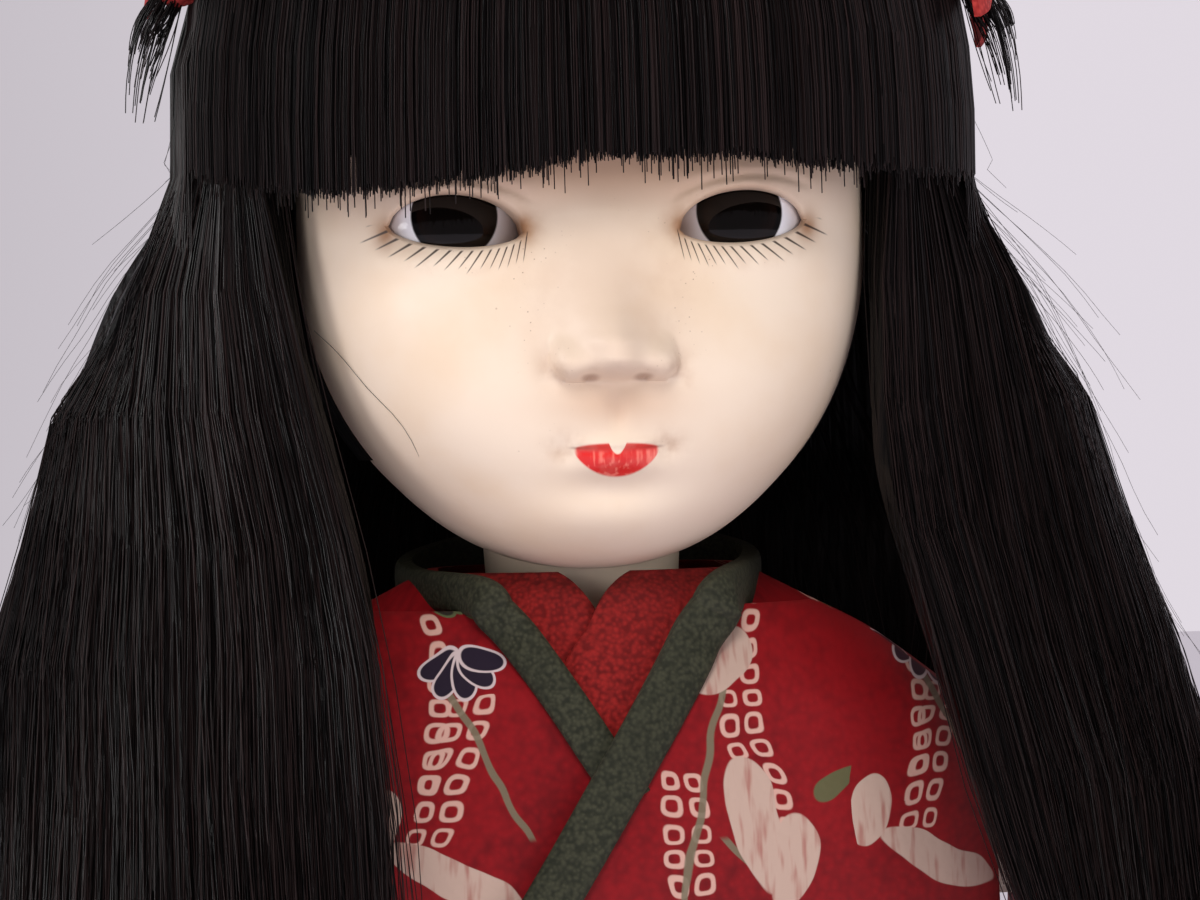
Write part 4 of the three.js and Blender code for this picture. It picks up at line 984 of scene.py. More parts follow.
@dataclass(frozen=True)
class Brocade(Finish):
    """Gold sash cloth woven with hexagons, with a small flower in each."""

    cell: float = 8.0

    def paint(self, s: Shader) -> Value:
        """Builds the brocade.

        Args:
            s: The shader.

        Returns:
            The surface.
        """
        u, v, _ = s.split(s.cloth())
        a = u / self.cell
        b = v / (self.cell * HEX)

        def lattice(p: Value, q: Value) -> tuple[Value, Value]:
            """Offsets from the nearest point of one of the two lattices."""
            return (p.part() - 0.5) * self.cell, (q.part() - 0.5) * (self.cell * HEX)

        ax, ay = lattice(a, b)
        bx, by = lattice(a + 0.5, b + 0.5)

        def rim(px: Value, py: Value) -> Value:
            """Distance from a hexagon's middle, measured to its sides."""
            return abs(px).most(abs(px) * 0.5 + abs(py) * 0.866)

        hexagon = rim(ax, ay).least(rim(bx, by))
        near = (ax ** 2 + ay ** 2).least(bx ** 2 + by ** 2) ** 0.5
        first = (bx ** 2 + by ** 2 - ax ** 2 - ay ** 2).over(-0.01, 0.01)
        turn = (ay.angle(ax) * first + by.angle(bx) * (1 - first)) * 6
        petals = (near - 1.5 - turn.sin() * 0.55).over(0.2, -0.2)
        heart = near.over(0.7, 0.45)
        thread = (u * 6.5).sin() * 0.5 + (v * 9.0).sin() * 0.5
        frame_line = (hexagon - self.cell * 0.46).line(0.34, 0.12)
        inner = (hexagon - self.cell * 0.36).line(0.16, 0.1)
        colour = s.blend(tint(150, 108, 46), tint(196, 152, 74), s.noise(s.cloth(), 140, 3).over(0.3, 0.7))
        colour = s.blend(colour, tint(92, 24, 22), frame_line.most(inner * 0.8))
        colour = s.blend(colour, tint(58, 74, 52), petals * 0.9)
        colour = s.blend(colour, tint(226, 196, 130), heart)
        gold = 1 - frame_line.most(petals)
        height = thread * 0.2 + petals * 0.5 + frame_line * 0.5
        return s.surface(Base_Color=colour, Metallic=gold * 0.35, Roughness=0.58 - gold * 0.14,
                         Normal=s.bump(height, 0.16, 0.8))


@dataclass(frozen=True)
class PlainWeave(Finish):
    """Plain woven cloth."""

    colour: Colour
    # deep: painted between the threads as shade, and into worn patches.
    deep: Colour
    thread: float = 0.5

    def paint(self, s: Shader) -> Value:
        """Builds the weave.

        Args:
            s: The shader.

        Returns:
            The surface.
        """
        x, y, z = s.split(s.place())
        across = (x * (2 * math.pi / self.thread)).sin() + (y * (2 * math.pi / self.thread)).sin()
        weave = across * 0.25 + (z * (2 * math.pi / self.thread)).sin() * 0.25 + 0.5
        worn = s.noise(s.place(), 70, 4).over(0.3, 0.75)
        # Painted shade between the threads, with real mottling from wear; both take the deep colour.
        colour = s.blend(self.colour, self.deep, (1 - weave) * 0.35 + worn * 0.4)
        return s.surface(Base_Color=colour, Roughness=0.88, Normal=s.bump(weave, 0.1, 0.6))


@dataclass(frozen=True)
class Lacquer(Finish):
    """Black lacquer with a red undercoat that shows through in hazy patches."""

    def paint(self, s: Shader) -> Value:
        """Builds the lacquer.

        Args:
            s: The shader.

        Returns:
            The surface.
        """
        at = s.place()
        haze = s.noise(at, 24, 4)
        scratch = s.noise(s.stretch(at, (1, 26, 8)), 110, 2).over(0.62, 0.75)
        colour = s.blend(tint(12, 9, 9), tint(34, 15, 12), haze.over(0.5, 0.8) * 0.6)
        return s.surface(Base_Color=colour, Roughness=0.16 + haze * 0.12 + scratch * 0.12, Coat_Weight=0.6,
                         Coat_Roughness=0.08, Normal=s.bump(haze, 0.08, 0.2))


@dataclass(frozen=True)
class BareWood(Finish):
    """Pale turned wood."""

    def paint(self, s: Shader) -> Value:
        """Builds the grain.

        Args:
            s: The shader.

        Returns:
            The surface.
        """
        at = s.place()
        grain = s.noise(s.stretch(at, (1, 1, 0.06)), 520, 4)
        ring = s.noise(s.stretch(at, (1, 1, 0.02)), 130, 2)
        colour = s.blend(tint(202, 166, 116), tint(150, 108, 64), grain.over(0.35, 0.75) * 0.7 + ring * 0.2)
        return s.surface(Base_Color=colour, Roughness=0.6, Normal=s.bump(grain, 0.05, 0.6))


@dataclass(frozen=True)
class Brass(Finish):
    """Turned brass, a little tarnished."""

    def paint(self, s: Shader) -> Value:
        """Builds the brass.

        Args:
            s: The shader.

        Returns:
            The surface.
        """
        at = s.place()
        tarnish = s.noise(at, 180, 4).over(0.35, 0.75)
        lines = s.noise(s.stretch(at, (1, 1, 60)), 90, 2)
        colour = s.blend(tint(206, 164, 84), tint(132, 92, 44), tarnish * 0.7)
        return s.surface(Base_Color=colour, Metallic=1.0, Roughness=0.24 + tarnish * 0.2,
                         Normal=s.bump(lines, 0.03, 0.3))


@dataclass(frozen=True)
class Paper(Finish):
    """Pale backdrop paper."""

    def paint(self, s: Shader) -> Value:
        """Builds the paper.

        Args:
            s: The shader.

        Returns:
            The surface.
        """
        fleck = s.noise(s.place(), 3.0, 2)
        return s.surface(Base_Color=s.blend(tint(176, 170, 177), tint(166, 160, 168), fleck), Roughness=0.9,
                         Emission_Color=tint(236, 228, 238), Emission_Strength=0.45)


RED_CREPE = Crepe(tint(146, 31, 28), tint(96, 14, 14), 0.42, 0.16)
GREEN_CREPE = Crepe(tint(62, 62, 47), tint(35, 37, 27), 0.38, 0.14)
RIBBON_CREPE = Crepe(tint(196, 66, 60), tint(140, 30, 30), 0.5, 0.1)
LINING_SILK = PlainWeave(tint(196, 58, 50), tint(150, 34, 32), 0.35)
COTTON = PlainWeave(tint(236, 230, 218), tint(206, 196, 176))
COMPOSITION = PlainWeave(tint(205, 184, 150), tint(164, 140, 104), 0.9)
SANDAL_CLOTH = PlainWeave(tint(168, 34, 40), tint(110, 18, 26), 0.6)
SKIN = Gofun()
FACE = GofunFace()
GLASS = EyeGlass()
HAIR_MASS = Hair()
HAIR_STRAND = Hair(True)
PRINT = PrintedSilk()
SASH_CLOTH = Brocade()
LACQUER = Lacquer()
WOOD = BareWood()
BRASS = Brass()
PAPER = Paper()


def belong(obj: bpy.types.Object, body: str, slot: str, *nodes: str) -> bpy.types.Object:
    """Ties a finished piece to a body and hides the solids that it stands for.

    Args:
        obj: The piece.
        body: The body that it moves with.
        slot: The record's material slot; not used.
        nodes: Solids that it replaces.

    Returns:
        The piece.
    """
    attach(obj, body)
    if nodes:
        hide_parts(*nodes)
    LOG.info("%s: %d points", obj.name, len(obj.data.vertices))
    return obj


def cloth_area(obj: bpy.types.Object) -> float:
    """Half of the surface of a thin closed piece, in square metres.

    Args:
        obj: The piece.

    Returns:
        The area.
    """
    size = np.zeros(len(obj.data.polygons))
    obj.data.polygons.foreach_get("area", size)
    return float(size.sum()) / 2


def cut_cloth(obj: bpy.types.Object, held: Held, under: str, width: float = 0.0, length: float = 0.0) -> None:
    """Works out the area of a sheet of cloth in square millimetres and does nothing more with the piece.

    Args:
        obj: The piece.
        held: How it is held; not used.
        under: Name of what it lies on; not used.
        width: Width of the flat cut in millimetres; not used.
        length: Length of the flat cut in millimetres; not used.
    """
    area = cloth_area(obj) / MM ** 2


# Hair strands by geometry nodes

class StrandTree:
    """Turns loose lines into tapering strands with a little waver."""

    waver_scale: float = 55.0
    sides: int = 3

    def __init__(self) -> None:
        """Builds the node group."""
        self.group = bpy.data.node_groups.new("hair_strands", "GeometryNodeTree")
        face = self.group.interface
        face.new_socket("Geometry", in_out="INPUT", socket_type="NodeSocketGeometry")
        self.sockets: dict[str, str] = {}
        for name, kind in (("Root radius", "NodeSocketFloat"), ("Tip radius", "NodeSocketFloat"),
                           ("Waver", "NodeSocketFloat"), ("Waver scale", "NodeSocketFloat"),
                           ("Seed", "NodeSocketFloat"), ("Sides", "NodeSocketInt"),
                           ("Finish", "NodeSocketMaterial")):
            self.sockets[name] = face.new_socket(name, in_out="INPUT", socket_type=kind).identifier
        self._wire(face.new_socket("Geometry", in_out="OUTPUT", socket_type="NodeSocketGeometry").identifier)

    def _wire(self, result: str) -> None:
        """Adds and joins the nodes.

        Args:
            result: Identifier of the group's output.
        """
        s = Shader(self.group)
        given = {o.name: Value(s, o) for o in s.node("NodeGroupInput").socket.node.outputs}
        lines = s.node("GeometryNodeMeshToCurve", {}, {"Mesh": given["Geometry"]})
        along = s.node("GeometryNodeSplineParameter", out="Factor")
        noise = s.node("ShaderNodeTexNoise", {"noise_dimensions": "4D"},
                       {"Vector": s.node("GeometryNodeInputPosition"), "W": given["Seed"],
                        "Scale": given["Waver scale"], "Detail": 1.0}, "Color")
        centred = s.node("ShaderNodeVectorMath", {"operation": "SUBTRACT"},
                         {"Vector": noise, "Vector_001": (0.5, 0.5, 0.5)})
        offset = s.node("ShaderNodeVectorMath", {"operation": "SCALE"},
                        {"Vector": centred, "Scale": along * given["Waver"]})
        moved = s.node("GeometryNodeSetPosition", {}, {"Geometry": lines, "Offset": offset})
        taper = s.node("ShaderNodeMapRange", {},
                       {"Value": along, "To Min": given["Root radius"], "To Max": given["Tip radius"]})
        ring = s.node("GeometryNodeCurvePrimitiveCircle", {}, {"Resolution": given["Sides"], "Radius": 1.0})
        mesh = s.node("GeometryNodeCurveToMesh", {},
                      {"Curve": moved, "Profile Curve": ring, "Scale": taper, "Fill Caps": True})
        whole = s.node("GeometryNodeRealizeInstances", {}, {"Geometry": mesh})
        painted = s.node("GeometryNodeSetMaterial", {}, {"Geometry": whole, "Material": given["Finish"]})
        s.node("NodeGroupOutput", {}, {result: painted})

    def grow(self, name: str, lines: Array, root: float, tip: float, waver: float, seed: int) -> bpy.types.Object:
        """Makes one piece of many strands.

        Args:
            name: Name of the piece.
            lines: Points in millimetres, strand by strand.
            root: Radius at the root in millimetres.
            tip: Radius at the tip.
            waver: How far the tips stray.
            seed: Seed of the waver and of the tones.

        Returns:
            The piece, a plain mesh.
        """
        count, length = lines.shape[:2]
        mesh = bpy.data.meshes.new(name)
        index = np.arange(count * length).reshape(count, length)
        edges = np.stack([index[:, :-1].ravel(), index[:, 1:].ravel()], 1)
        mesh.from_pydata((lines.reshape(-1, 3) * MM).tolist(), edges.tolist(), [])
        tone = np.random.default_rng(seed).random(count) ** 2
        attribute = mesh.attributes.new("tone", "FLOAT", "POINT")
        attribute.data.foreach_set("value", np.repeat(tone, length).astype(np.float32))
        obj = bpy.data.objects.new(name, mesh)
        bpy.context.scene.collection.objects.link(obj)
        modifier = obj.modifiers.new("strands", "NODES")
        modifier.node_group = self.group
        for key, value in (("Root radius", root * MM), ("Tip radius", tip * MM), ("Waver", waver * MM),
                           ("Waver scale", self.waver_scale), ("Seed", float(seed)), ("Sides", self.sides),
                           ("Finish", HAIR_STRAND.material())):
            modifier[self.sockets[key]] = value
        settle(obj)
        obj.data.shade_smooth()
        return obj


# Head

@dataclass
class Head:
    """The gofun head with its neck and the set glass eyes."""

    half_width: float = 33.5
    height: float = 88.0
    widest: float = 37.0
    face_depth: float = 32.0
    skull_depth: float = 36.0
    power: float = 2.4
    face_turn: float = math.radians(64)
    eye_x: float = EYE_X
    eye_z: float = EYE_Z
    eye_half: float = EYE_HALF
    eye_upper: float = 3.9
    eye_lower: float = EYE_LOW
    eye_tilt: float = math.radians(4.8)
    ball: float = 9.0
    neck: float = 11.5
    neck_y: float = 3.0
    drift: float = FACE_DRIFT

    def sections(self, z: Array) -> tuple[Array, Array, Array, Array]:
        """Half-width, front, back and forward lean of the bare head at a height.

        Args:
            z: Heights above the chin.

        Returns:
            The four measures.
        """
        low = z < self.widest
        t = np.where(low, (self.widest - z) / self.widest, (z - self.widest) / (self.height - self.widest))
        half = self.half_width * np.where(low, rounded(t, 2.05), rounded(t, 2.4))
        front = self.face_depth * np.where(low, rounded(t, 2.9), rounded(t, 2.4))
        back = self.skull_depth * np.where(low, rounded(t, 2.0), rounded(t, 2.4))
        return half, front, back, np.where(low, 5 * t * t, 0.0)

    def relief(self, x: Array, z: Array) -> Array:
        """How far the features stand out of the bare face.

        Args:
            x: Across the face.
            z: Above the chin.

        Returns:
            Heights in millimetres.
        """
        off = np.abs(x) - self.eye_x
        eye_side = np.abs(x)
        x = x - self.drift * (1 - ease(z, 20, 30))
        side = np.abs(x)
        ridge = through((18.6, 0), (19.8, 0.15), (20.3, 0.9), (20.8, 3.3), (21.5, 5.1), (22.6, 6.1), (24, 6.1),
                        (26, 4.9), (29, 3), (33, 1.4), (38, 0.4), (44, 0))
        breadth = through((19, 3.1), (23, 3.2), (30, 3.5), (42, 4))
        rise = (z - 22.3) / np.where(z > 22.3, 5.5, 2.2)
        wing = 3.7 * np.sqrt(np.clip(1 - ((side - 4.5) / 2.7) ** 2 - rise ** 2, 0, 1)) * (1 - ease(z, 22.3, 27.5))
        nose = ((ridge(z) * bell(x, breadth(z))) ** 4 + wing ** 4) ** 0.25
        mouth = MOUTH_Z + 0.008 * x * x
        arch = self.eye_z + off * math.tan(self.eye_tilt) + self.eye_upper * rounded(off / 9.6, 2) + 1.5
        bumps = (
            (-0.3, side - 7.5, 0.8, 22, 1.8),  # crease behind the nostril wing
            (-0.6, side - 2.8, 0.8, 20.6, 0.35),  # nostril
            (-0.6, x, 0.75, 16.8, 1.5),  # groove above the lip
            (1.5, x, 7, 14, 4.5),  # fullness of the mouth
            (0.75, x, 1.2, 12.9, 1.0),  # drop of the upper lip
            (1.1, x, 3, 11.0, 1.1),  # lower lip
            (-0.4, side - 5.8, 1.0, 12.7, 1.0),  # corner of the mouth
            (-0.9, x, 4.5, 8.2, 1.3),  # hollow under the lip
            (2.3, x, 6.5, 4.6, 3.2),  # chin
            (1.9, eye_side - 17, 9, 19, 9),  # cheek
            (-1.5, off, 7, self.eye_z + 1, 4.2),  # socket of the eye
            (1.2, off, 6.6, self.eye_z + self.eye_upper + 0.8, 1.7),  # upper lid
            (0.8, off, 6, self.eye_z - self.eye_lower - 1.6, 1.4),  # lower lid
            (-0.8, x, 4, 40, 4))  # root of the nose
        forms = sum(high * bell(across, wide) * bell(z - level, tall) for high, across, wide, level, tall in bumps)
        peaks = 0.45 * bell(side - 2.6, 1.6) * bell(z - mouth - 0.6, 0.6)
        seam = 0.35 * bell(z - mouth, 0.3) * (1 - ease(side, 3.4, 5.2))
        fold = 0.45 * bell(z - arch, 0.32) * (1 - ease(np.abs(off), 6.4, 9.0))
        return nose + forms + peaks - seam - fold

    def surface(self, turn: Array, z: Array) -> Array:
        """Points of the head with its features, measured from the chin.

        Args:
            turn: Angles round the head; 0 is the front.
            z: Heights above the chin.

        Returns:
            The points.
        """
        half, front, back, lean = self.sections(z)
        x, y = oval(turn, half, front, back, self.power)
        facing = ease(np.cos(turn), 0.2, 0.6)
        return stack(x, y - lean - facing * self.relief(x, z), z - 1.1 * (1 - ease(z, 0, 10)))

    def face_y(self, x: Array, z: Array) -> Array:
        """The front of the face at x and z."""
        half, front, _, lean = self.sections(z)
        return -front * rounded(np.clip(x / half, -0.999, 0.999), self.power) - lean - self.relief(x, z)

    def eye_tool(self, side: Side) -> bpy.types.Object:
        """The almond opening between the lids, wider at the face so that the lids are rounded.

        Args:
            side: Which eye.

        Returns:
            The cutting solid.
        """
        t = np.linspace(-1, 1, 33)
        rings = []
        for depth, grow in ((-4, 0.75), (-0.3, 0.75), (-0.02, 0.52), (0.2, 0.28), (0.5, 0.1), (0.9, 0.0), (9, 0.0)):
            half = self.eye_half + grow
            top = (self.eye_upper + grow) * rounded(t, 2) ** 1.1
            low = -(self.eye_lower + grow) * rounded(t, 2) ** 1.2
            x = np.concatenate([t, t[-2:0:-1]]) * half
            z = np.concatenate([top, low[-2:0:-1]])
            c, s = math.cos(self.eye_tilt), math.sin(self.eye_tilt)
            px, pz = self.eye_x + x * c - z * s, self.eye_z + x * s + z * c
            rings.append(stack(side.value * px, self.face_y(px, pz) + depth, pz + CHIN))
        return Mould().loft(np.array(rings)).piece("tool", SKIN)

    def centre(self, side: Side) -> Array:
        """The middle of an eyeball, from its solid."""
        _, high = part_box(f"{side.label}_eyeball")
        return np.array([side.value * self.eye_x, high.y / MM - self.ball, CHIN + self.eye_z])

    def globe(self, name: str, centre: Array, radius: float, finish: Finish, fine: int = 48) -> bpy.types.Object:
        """A ball whose poles point to the front and back.

        Args:
            name: Name of the piece.
            centre: Its middle.
            radius: Its radius.
            finish: Its finish.
            fine: Rings from pole to pole.

        Returns:
            The piece.
        """
        rise = np.linspace(0.02, math.pi - 0.02, fine)[:, None]
        turn = turns(2 * fine)[None]
        rings = centre + radius * stack(np.sin(rise) * np.cos(turn), -np.cos(rise), np.sin(rise) * np.sin(turn))
        return Mould().loft(rings).piece(name, finish)

    def build(self) -> None:
        """Makes the head, the neck and the eyes."""
        z = np.concatenate([[0.004, 0.02, 0.06, 0.15, 0.3, 0.6, 1.0, 1.5], np.arange(2.0, 48, 0.34),
                            np.arange(48, 80, 1.7), [81, 83, 84.8, 86.2, 87.2, 87.7, 87.92, 87.99]])
        s = np.linspace(-1, 1, 181)
        face = self.face_turn * (0.55 * s + 0.45 * s ** 3)
        rear = np.linspace(self.face_turn, 2 * math.pi - self.face_turn, 50)[1:-1]
        points = from_chin(self.surface(np.concatenate([face, rear])[None], z[:, None]))
        head = Mould().loft(points).piece("head", FACE, 180)
        levels = np.array([-13.7, -9.7, -5, -2, 2, 8, 16])
        width = self.neck * np.array([1.06, 1, 0.98, 1, 1.02, 1.05, 1.1])
        turn = turns(64)
        x, y = oval(turn[None], width[:, None], width[:, None], width[:, None], 2)
        neck = Mould().loft(stack(x, y + self.neck_y, levels[:, None] + CHIN)).piece("tool", SKIN)
        carve(head, neck, "UNION")
        for side in Side:
            carve(head, self.eye_tool(side))
            carve(head, self.globe("tool", self.centre(side), self.ball + 0.2, SKIN))
        head.data.set_sharp_from_angle(angle=math.radians(50))
        belong(head, "head", "gofun", "head_front", "head_back")
        for side in Side:
            eye = self.globe(f"{side.label}_glass_eye", self.centre(side), self.ball, GLASS)
            belong(eye, "head", "dark_glass", f"{side.label}_eyeball", f"{side.label}_iris")


# Wig

HANG = (0, 0.18, 0.375, 0.525, 0.66, 0.81, 1)  # shares of the length where hanging hair has its shape given


def hanging(*values: float) -> Curve:
    """A curve down hanging hair from its values at those shares."""
    return through(*zip(HANG, values))


@dataclass
class Wig:
    """Cap, fringe, side locks, back hair and the tied tufts with their ribbons."""

    head: Head
    rim: float = 46.0
    top: float = 96.0
    half_width: float = 46.0
    front: float = 34.6
    back: float = 45.0
    fringe_thickness: float = 4.6
    fringe_bottom: float = 43.2
    fringe_turn: float = math.radians(74)
    length: float = 87.0
    lock_thickness: float = 12.0
    spread: float = 73.0
    back_thickness: float = 8.0
    tuft_length: float = 17.0
    ribbon_width: float = 8.0
    ribbon_cut: float = 12.0  # width of the flat cut
    knot_turn: float = math.radians(82)
    strand: float = 0.085
    crown: float = 95.98  # where strands start
    cap_strands: int = 2600
    fringe_strands: tuple[int, int] = (3200, 1500)
    lock_strands: int = 2200
    back_strands: int = 1700
    tuft_strands: int = 110
    stray_hairs: int = 90
    bend_low: float = 26.0  # hanging hair rides the figure this far below the chin
    bend_high: float = 22.0  # and the head this far above it

    def __post_init__(self) -> None:
        """Prepares the strand maker and the hanging curves."""
        self.tree = StrandTree()
        self.base = self.rim + 4
        self.knot_z = mix(self.rim, self.top, 0.44)
        self.widening = hanging(0.05, 0.39, 0.58, 0.66, 0.75, 0.87, 1)
        self.thickness = through((0, 1), (0.5, 1), (0.81, 0.72), (1, 0.55))

    def dome(self, turn: Array, z: Numbers, grow: Numbers) -> Array:
        """Points over the cap, measured from the chin and raised by grow.

        Args:
            turn: Angles round the head; 0 is the front.
            z: Heights above the chin.
            grow: How far outside the cap.

        Returns:
            The points.
        """
        s = rounded(np.maximum(0, z - self.base) / (self.top - self.base), 2.4)
        x, y = oval(turn, self.half_width * s + grow, self.front * s + grow, self.back * s + grow, 2.2)
        return stack(x, y, z)

    @staticmethod
    def bend(front: Array, middle: Array, rear: Array, u: Array) -> tuple[Array, Array]:
        """A level strip through three points.

        Args:
            front: Points at u = 0.
            middle: Points at u = 0.5.
            rear: Points at u = 1.
            u: Share of the way across.

        Returns:
            Points on the strip and the direction across it.
        """
        u = u[..., None]
        at = 2 * (u - 0.5) * (u - 1) * front - 4 * u * (u - 1) * middle + 2 * u * (u - 0.5) * rear
        way = unit((4 * u - 3) * front + (4 - 8 * u) * middle + (4 * u - 1) * rear)
        return at, np.stack([way[..., 1], -way[..., 0]], -1)

    def lock(self, side: Side, u: Array, v: Array, lift: Array) -> Array:
        """Points of a side lock.

        Args:
            side: Which lock.
            u: Share across, from the face backwards.
            v: Share down.
            lift: From -1 on the inner face to 1 on the outer.

        Returns:
            Points measured from the chin.
        """
        half = mix(self.half_width, self.spread, self.widening(v))
        thick = self.lock_thickness * self.thickness(v)
        inner = ((0, 34.6), (0.375, 33.6), (0.6, 37), (1, 46)) if side is Side.LEFT else \
            ((0, 36.6), (0.2, 35), (0.375, 31.5), (0.6, 28), (1, 27))
        front_x = through(*inner)(v)
        front_y = hanging(-13, -16, -19, -23, -27, -31.5, -34.5)(v)
        middle_y = hanging(3, 2, -1, -7, -15, -25, -32)(v)
        rear_y = hanging(22, 21, 17, 8, -4, -20, -28.5)(v)
        inset = hanging(9, 9, 8, 5, 4, 3.5, 3)(v)
        bulge = through((0, 0.5), (0.6, 0.5), (1, 6))(v)
        at, out = self.bend(np.stack([side.value * front_x, front_y], -1),
                            np.stack([side.value * (half - thick / 2 - bulge), middle_y], -1),
                            np.stack([side.value * (half - inset), rear_y], -1), u)
        raised = 0.5 * side.value * lift * thick * (0.35 + 0.65 * np.sin(math.pi * u))
        at = at + out * raised[..., None]
        return stack(at[..., 0], at[..., 1], self.rim - GAP - v * self.length)

    def nape(self, u: Array, v: Array, lift: Array) -> Array:
        """Points of the back hair, with u from the doll's left to its right.

        Args:
            u: Share across.
            v: Share down.
            lift: From -1 on the inner face to 1 on the outer.

        Returns:
            Points measured from the chin.
        """
        spread = hanging(34, 43, 50, 56, 58, 56, 52)(v)
        edge = hanging(29, 27, 24, 17, 16, 20, 24)(v)
        rear = through((0, self.back - 5), (0.375, self.back - 3), (0.66, self.back - 7), (1, self.back - 12))(v)
        at, out = self.bend(np.stack([spread, edge], -1), np.stack([0 * rear, rear], -1),
                            np.stack([-spread, edge], -1), u)
        raised = 0.5 * lift * self.back_thickness * (0.35 + 0.65 * np.sin(math.pi * u))
        at = at + out * raised[..., None]
        return stack(at[..., 0], at[..., 1], self.rim - GAP - v * self.length)

    def mass(self, name: str, surface: Surface, stop: float, thin: float) -> bpy.types.Object:
        """The body of a hanging curtain, a little thinner and shorter than its strands.

        Args:
            name: Name of the piece.
            surface: Points from u, v and lift.
            stop: Share of the length that it reaches.
            thin: Its thickness as a share of the curtain's.

        Returns:
            The piece.
        """
        v, u = np.meshgrid(np.linspace(0, stop, 48), np.linspace(-0.02, 1.02, 56), indexing="ij")
        rng = np.random.default_rng(5)
        ripple = 0.16 * np.sin(u * 61 + 3 * v) + 0.12 * np.sin(u * 97 + 2.2 + 2 * v) + 0.05 * rng.standard_normal(56)
        fade = 1 - 0.7 * ease(v, stop - 0.14, stop)
        outer = surface(u, v, (thin + ripple) * fade)
        inner = surface(u, v, -thin * fade)
        return Mould().shell(from_chin(outer), from_chin(inner)).piece(name, HAIR_MASS, 80)

    def hang(self, surface: Surface, count: int, seed: int, points: int, edge: float) -> Array:
        """Strands from the crown over the cap and down a hanging curtain.

        Args:
            surface: Points of the curtain from u, v and lift.
            count: Number of strands.
            seed: Seed of their places.
            points: Points on each.
            edge: How far strands may stand beyond the curtain's edges.

        Returns:
            Points in millimetres, strand by strand.
        """
        rng = np.random.default_rng(seed)
        u = rng.uniform(-edge, 1 + edge, count)
        lift = np.where(rng.random(count) < 0.72, rng.uniform(0.7, 1.08, count), rng.uniform(-1.05, 0.7, count))
        reach = 1 + rng.normal(0, 0.025, count) - np.abs(rng.normal(0, 0.035, count))
        down = np.linspace(0, 1, points - 5)[None] * reach[:, None]
        drift = mix(u[:, None], np.clip(u, 0, 1)[:, None], ease(down, 0.1, 0.45))
        drift = drift + rng.normal(0, 0.022, count)[:, None] * down
        spread = lift[:, None] + rng.normal(0, 0.25, count)[:, None] * down ** 2
        low = surface(drift, down, spread)
        rim = low[:, 0]
        turn = np.arctan2(rim[:, 0], -rim[:, 1])
        at_rim = self.dome(turn, self.base, 0.0)
        grow = np.clip(np.hypot(rim[:, 0], rim[:, 1]) - np.hypot(at_rim[:, 0], at_rim[:, 1]), 0.3, 1.6)
        grow = grow + rng.uniform(0, 0.5, count)
        levels = np.array([self.crown, 94.9, 89.0, 76.0, 58.0])[None]
        high = self.dome(turn[:, None], levels, grow[:, None] * (levels < 95.5))
        high[..., 2] += 0.75 * ease(high[..., 2], 86, 94)
        outside = (lift > 0.2) & (u > rng.uniform(0.16, 0.4, count)) & (u < 0.98 + edge)
        flow = self.dome(turn[:, None], low[..., 2], grow[:, None] + 6 * down)
        low = np.where(outside[:, None, None], mix(flow, low, ease(down, 0.0, 0.3)[..., None]), low)
        stub = np.repeat(low[:, :1], 5, 1) + np.linspace(5, 1, 5)[None, :, None] * (0, 0, 1.2)
        high = np.where(outside[:, None, None], high, stub)
        return from_chin(np.concatenate([high, low], 1))

    def cover(self) -> None:
        """The cap: a smooth mass with strands combed down from the crown."""
        z = np.concatenate([np.linspace(self.rim, 88, 24), [90, 92, 93.6, 94.8, 95.5, 95.9]])
        turn = turns(120)
        outer = from_chin(self.dome(turn[None], z[:, None], -0.15))
        inner = outer.copy()
        inner[..., :2] *= 0.93
        inner[..., 2] -= 1.4
        inner[0, :, 2] = outer[0, :, 2]
        cap = Mould().loft(np.concatenate([inner[:1], outer])).piece("hair_cap_mass", HAIR_MASS, 80)
        belong(cap, "head", "hair", "hair_cap")
        rng = np.random.default_rng(21)
        count = self.cap_strands
        turn = rng.uniform(self.fringe_turn * 0.9, 2 * math.pi - self.fringe_turn * 0.9, count)
        lean = rng.normal(0, 0.02, count)
        levels = np.array([self.crown, 95.3, 93.0, 87.0, 77.0, 65.0, 52.0, 44.0])[None]
        grow = rng.uniform(0.0, 0.55, count)[:, None] * (levels < 95.5) - 2.5 * (levels < 45)
        lines = self.dome(turn[:, None] + lean[:, None] * np.linspace(0, 1, 8), levels, grow)
        lines[..., 2] += 0.7 * ease(lines[..., 2], 86, 94)
        strands = self.tree.grow("hair_cap_strands", from_chin(lines), self.strand, self.strand, 0.5, 21)
        belong(strands, "head", "hair")

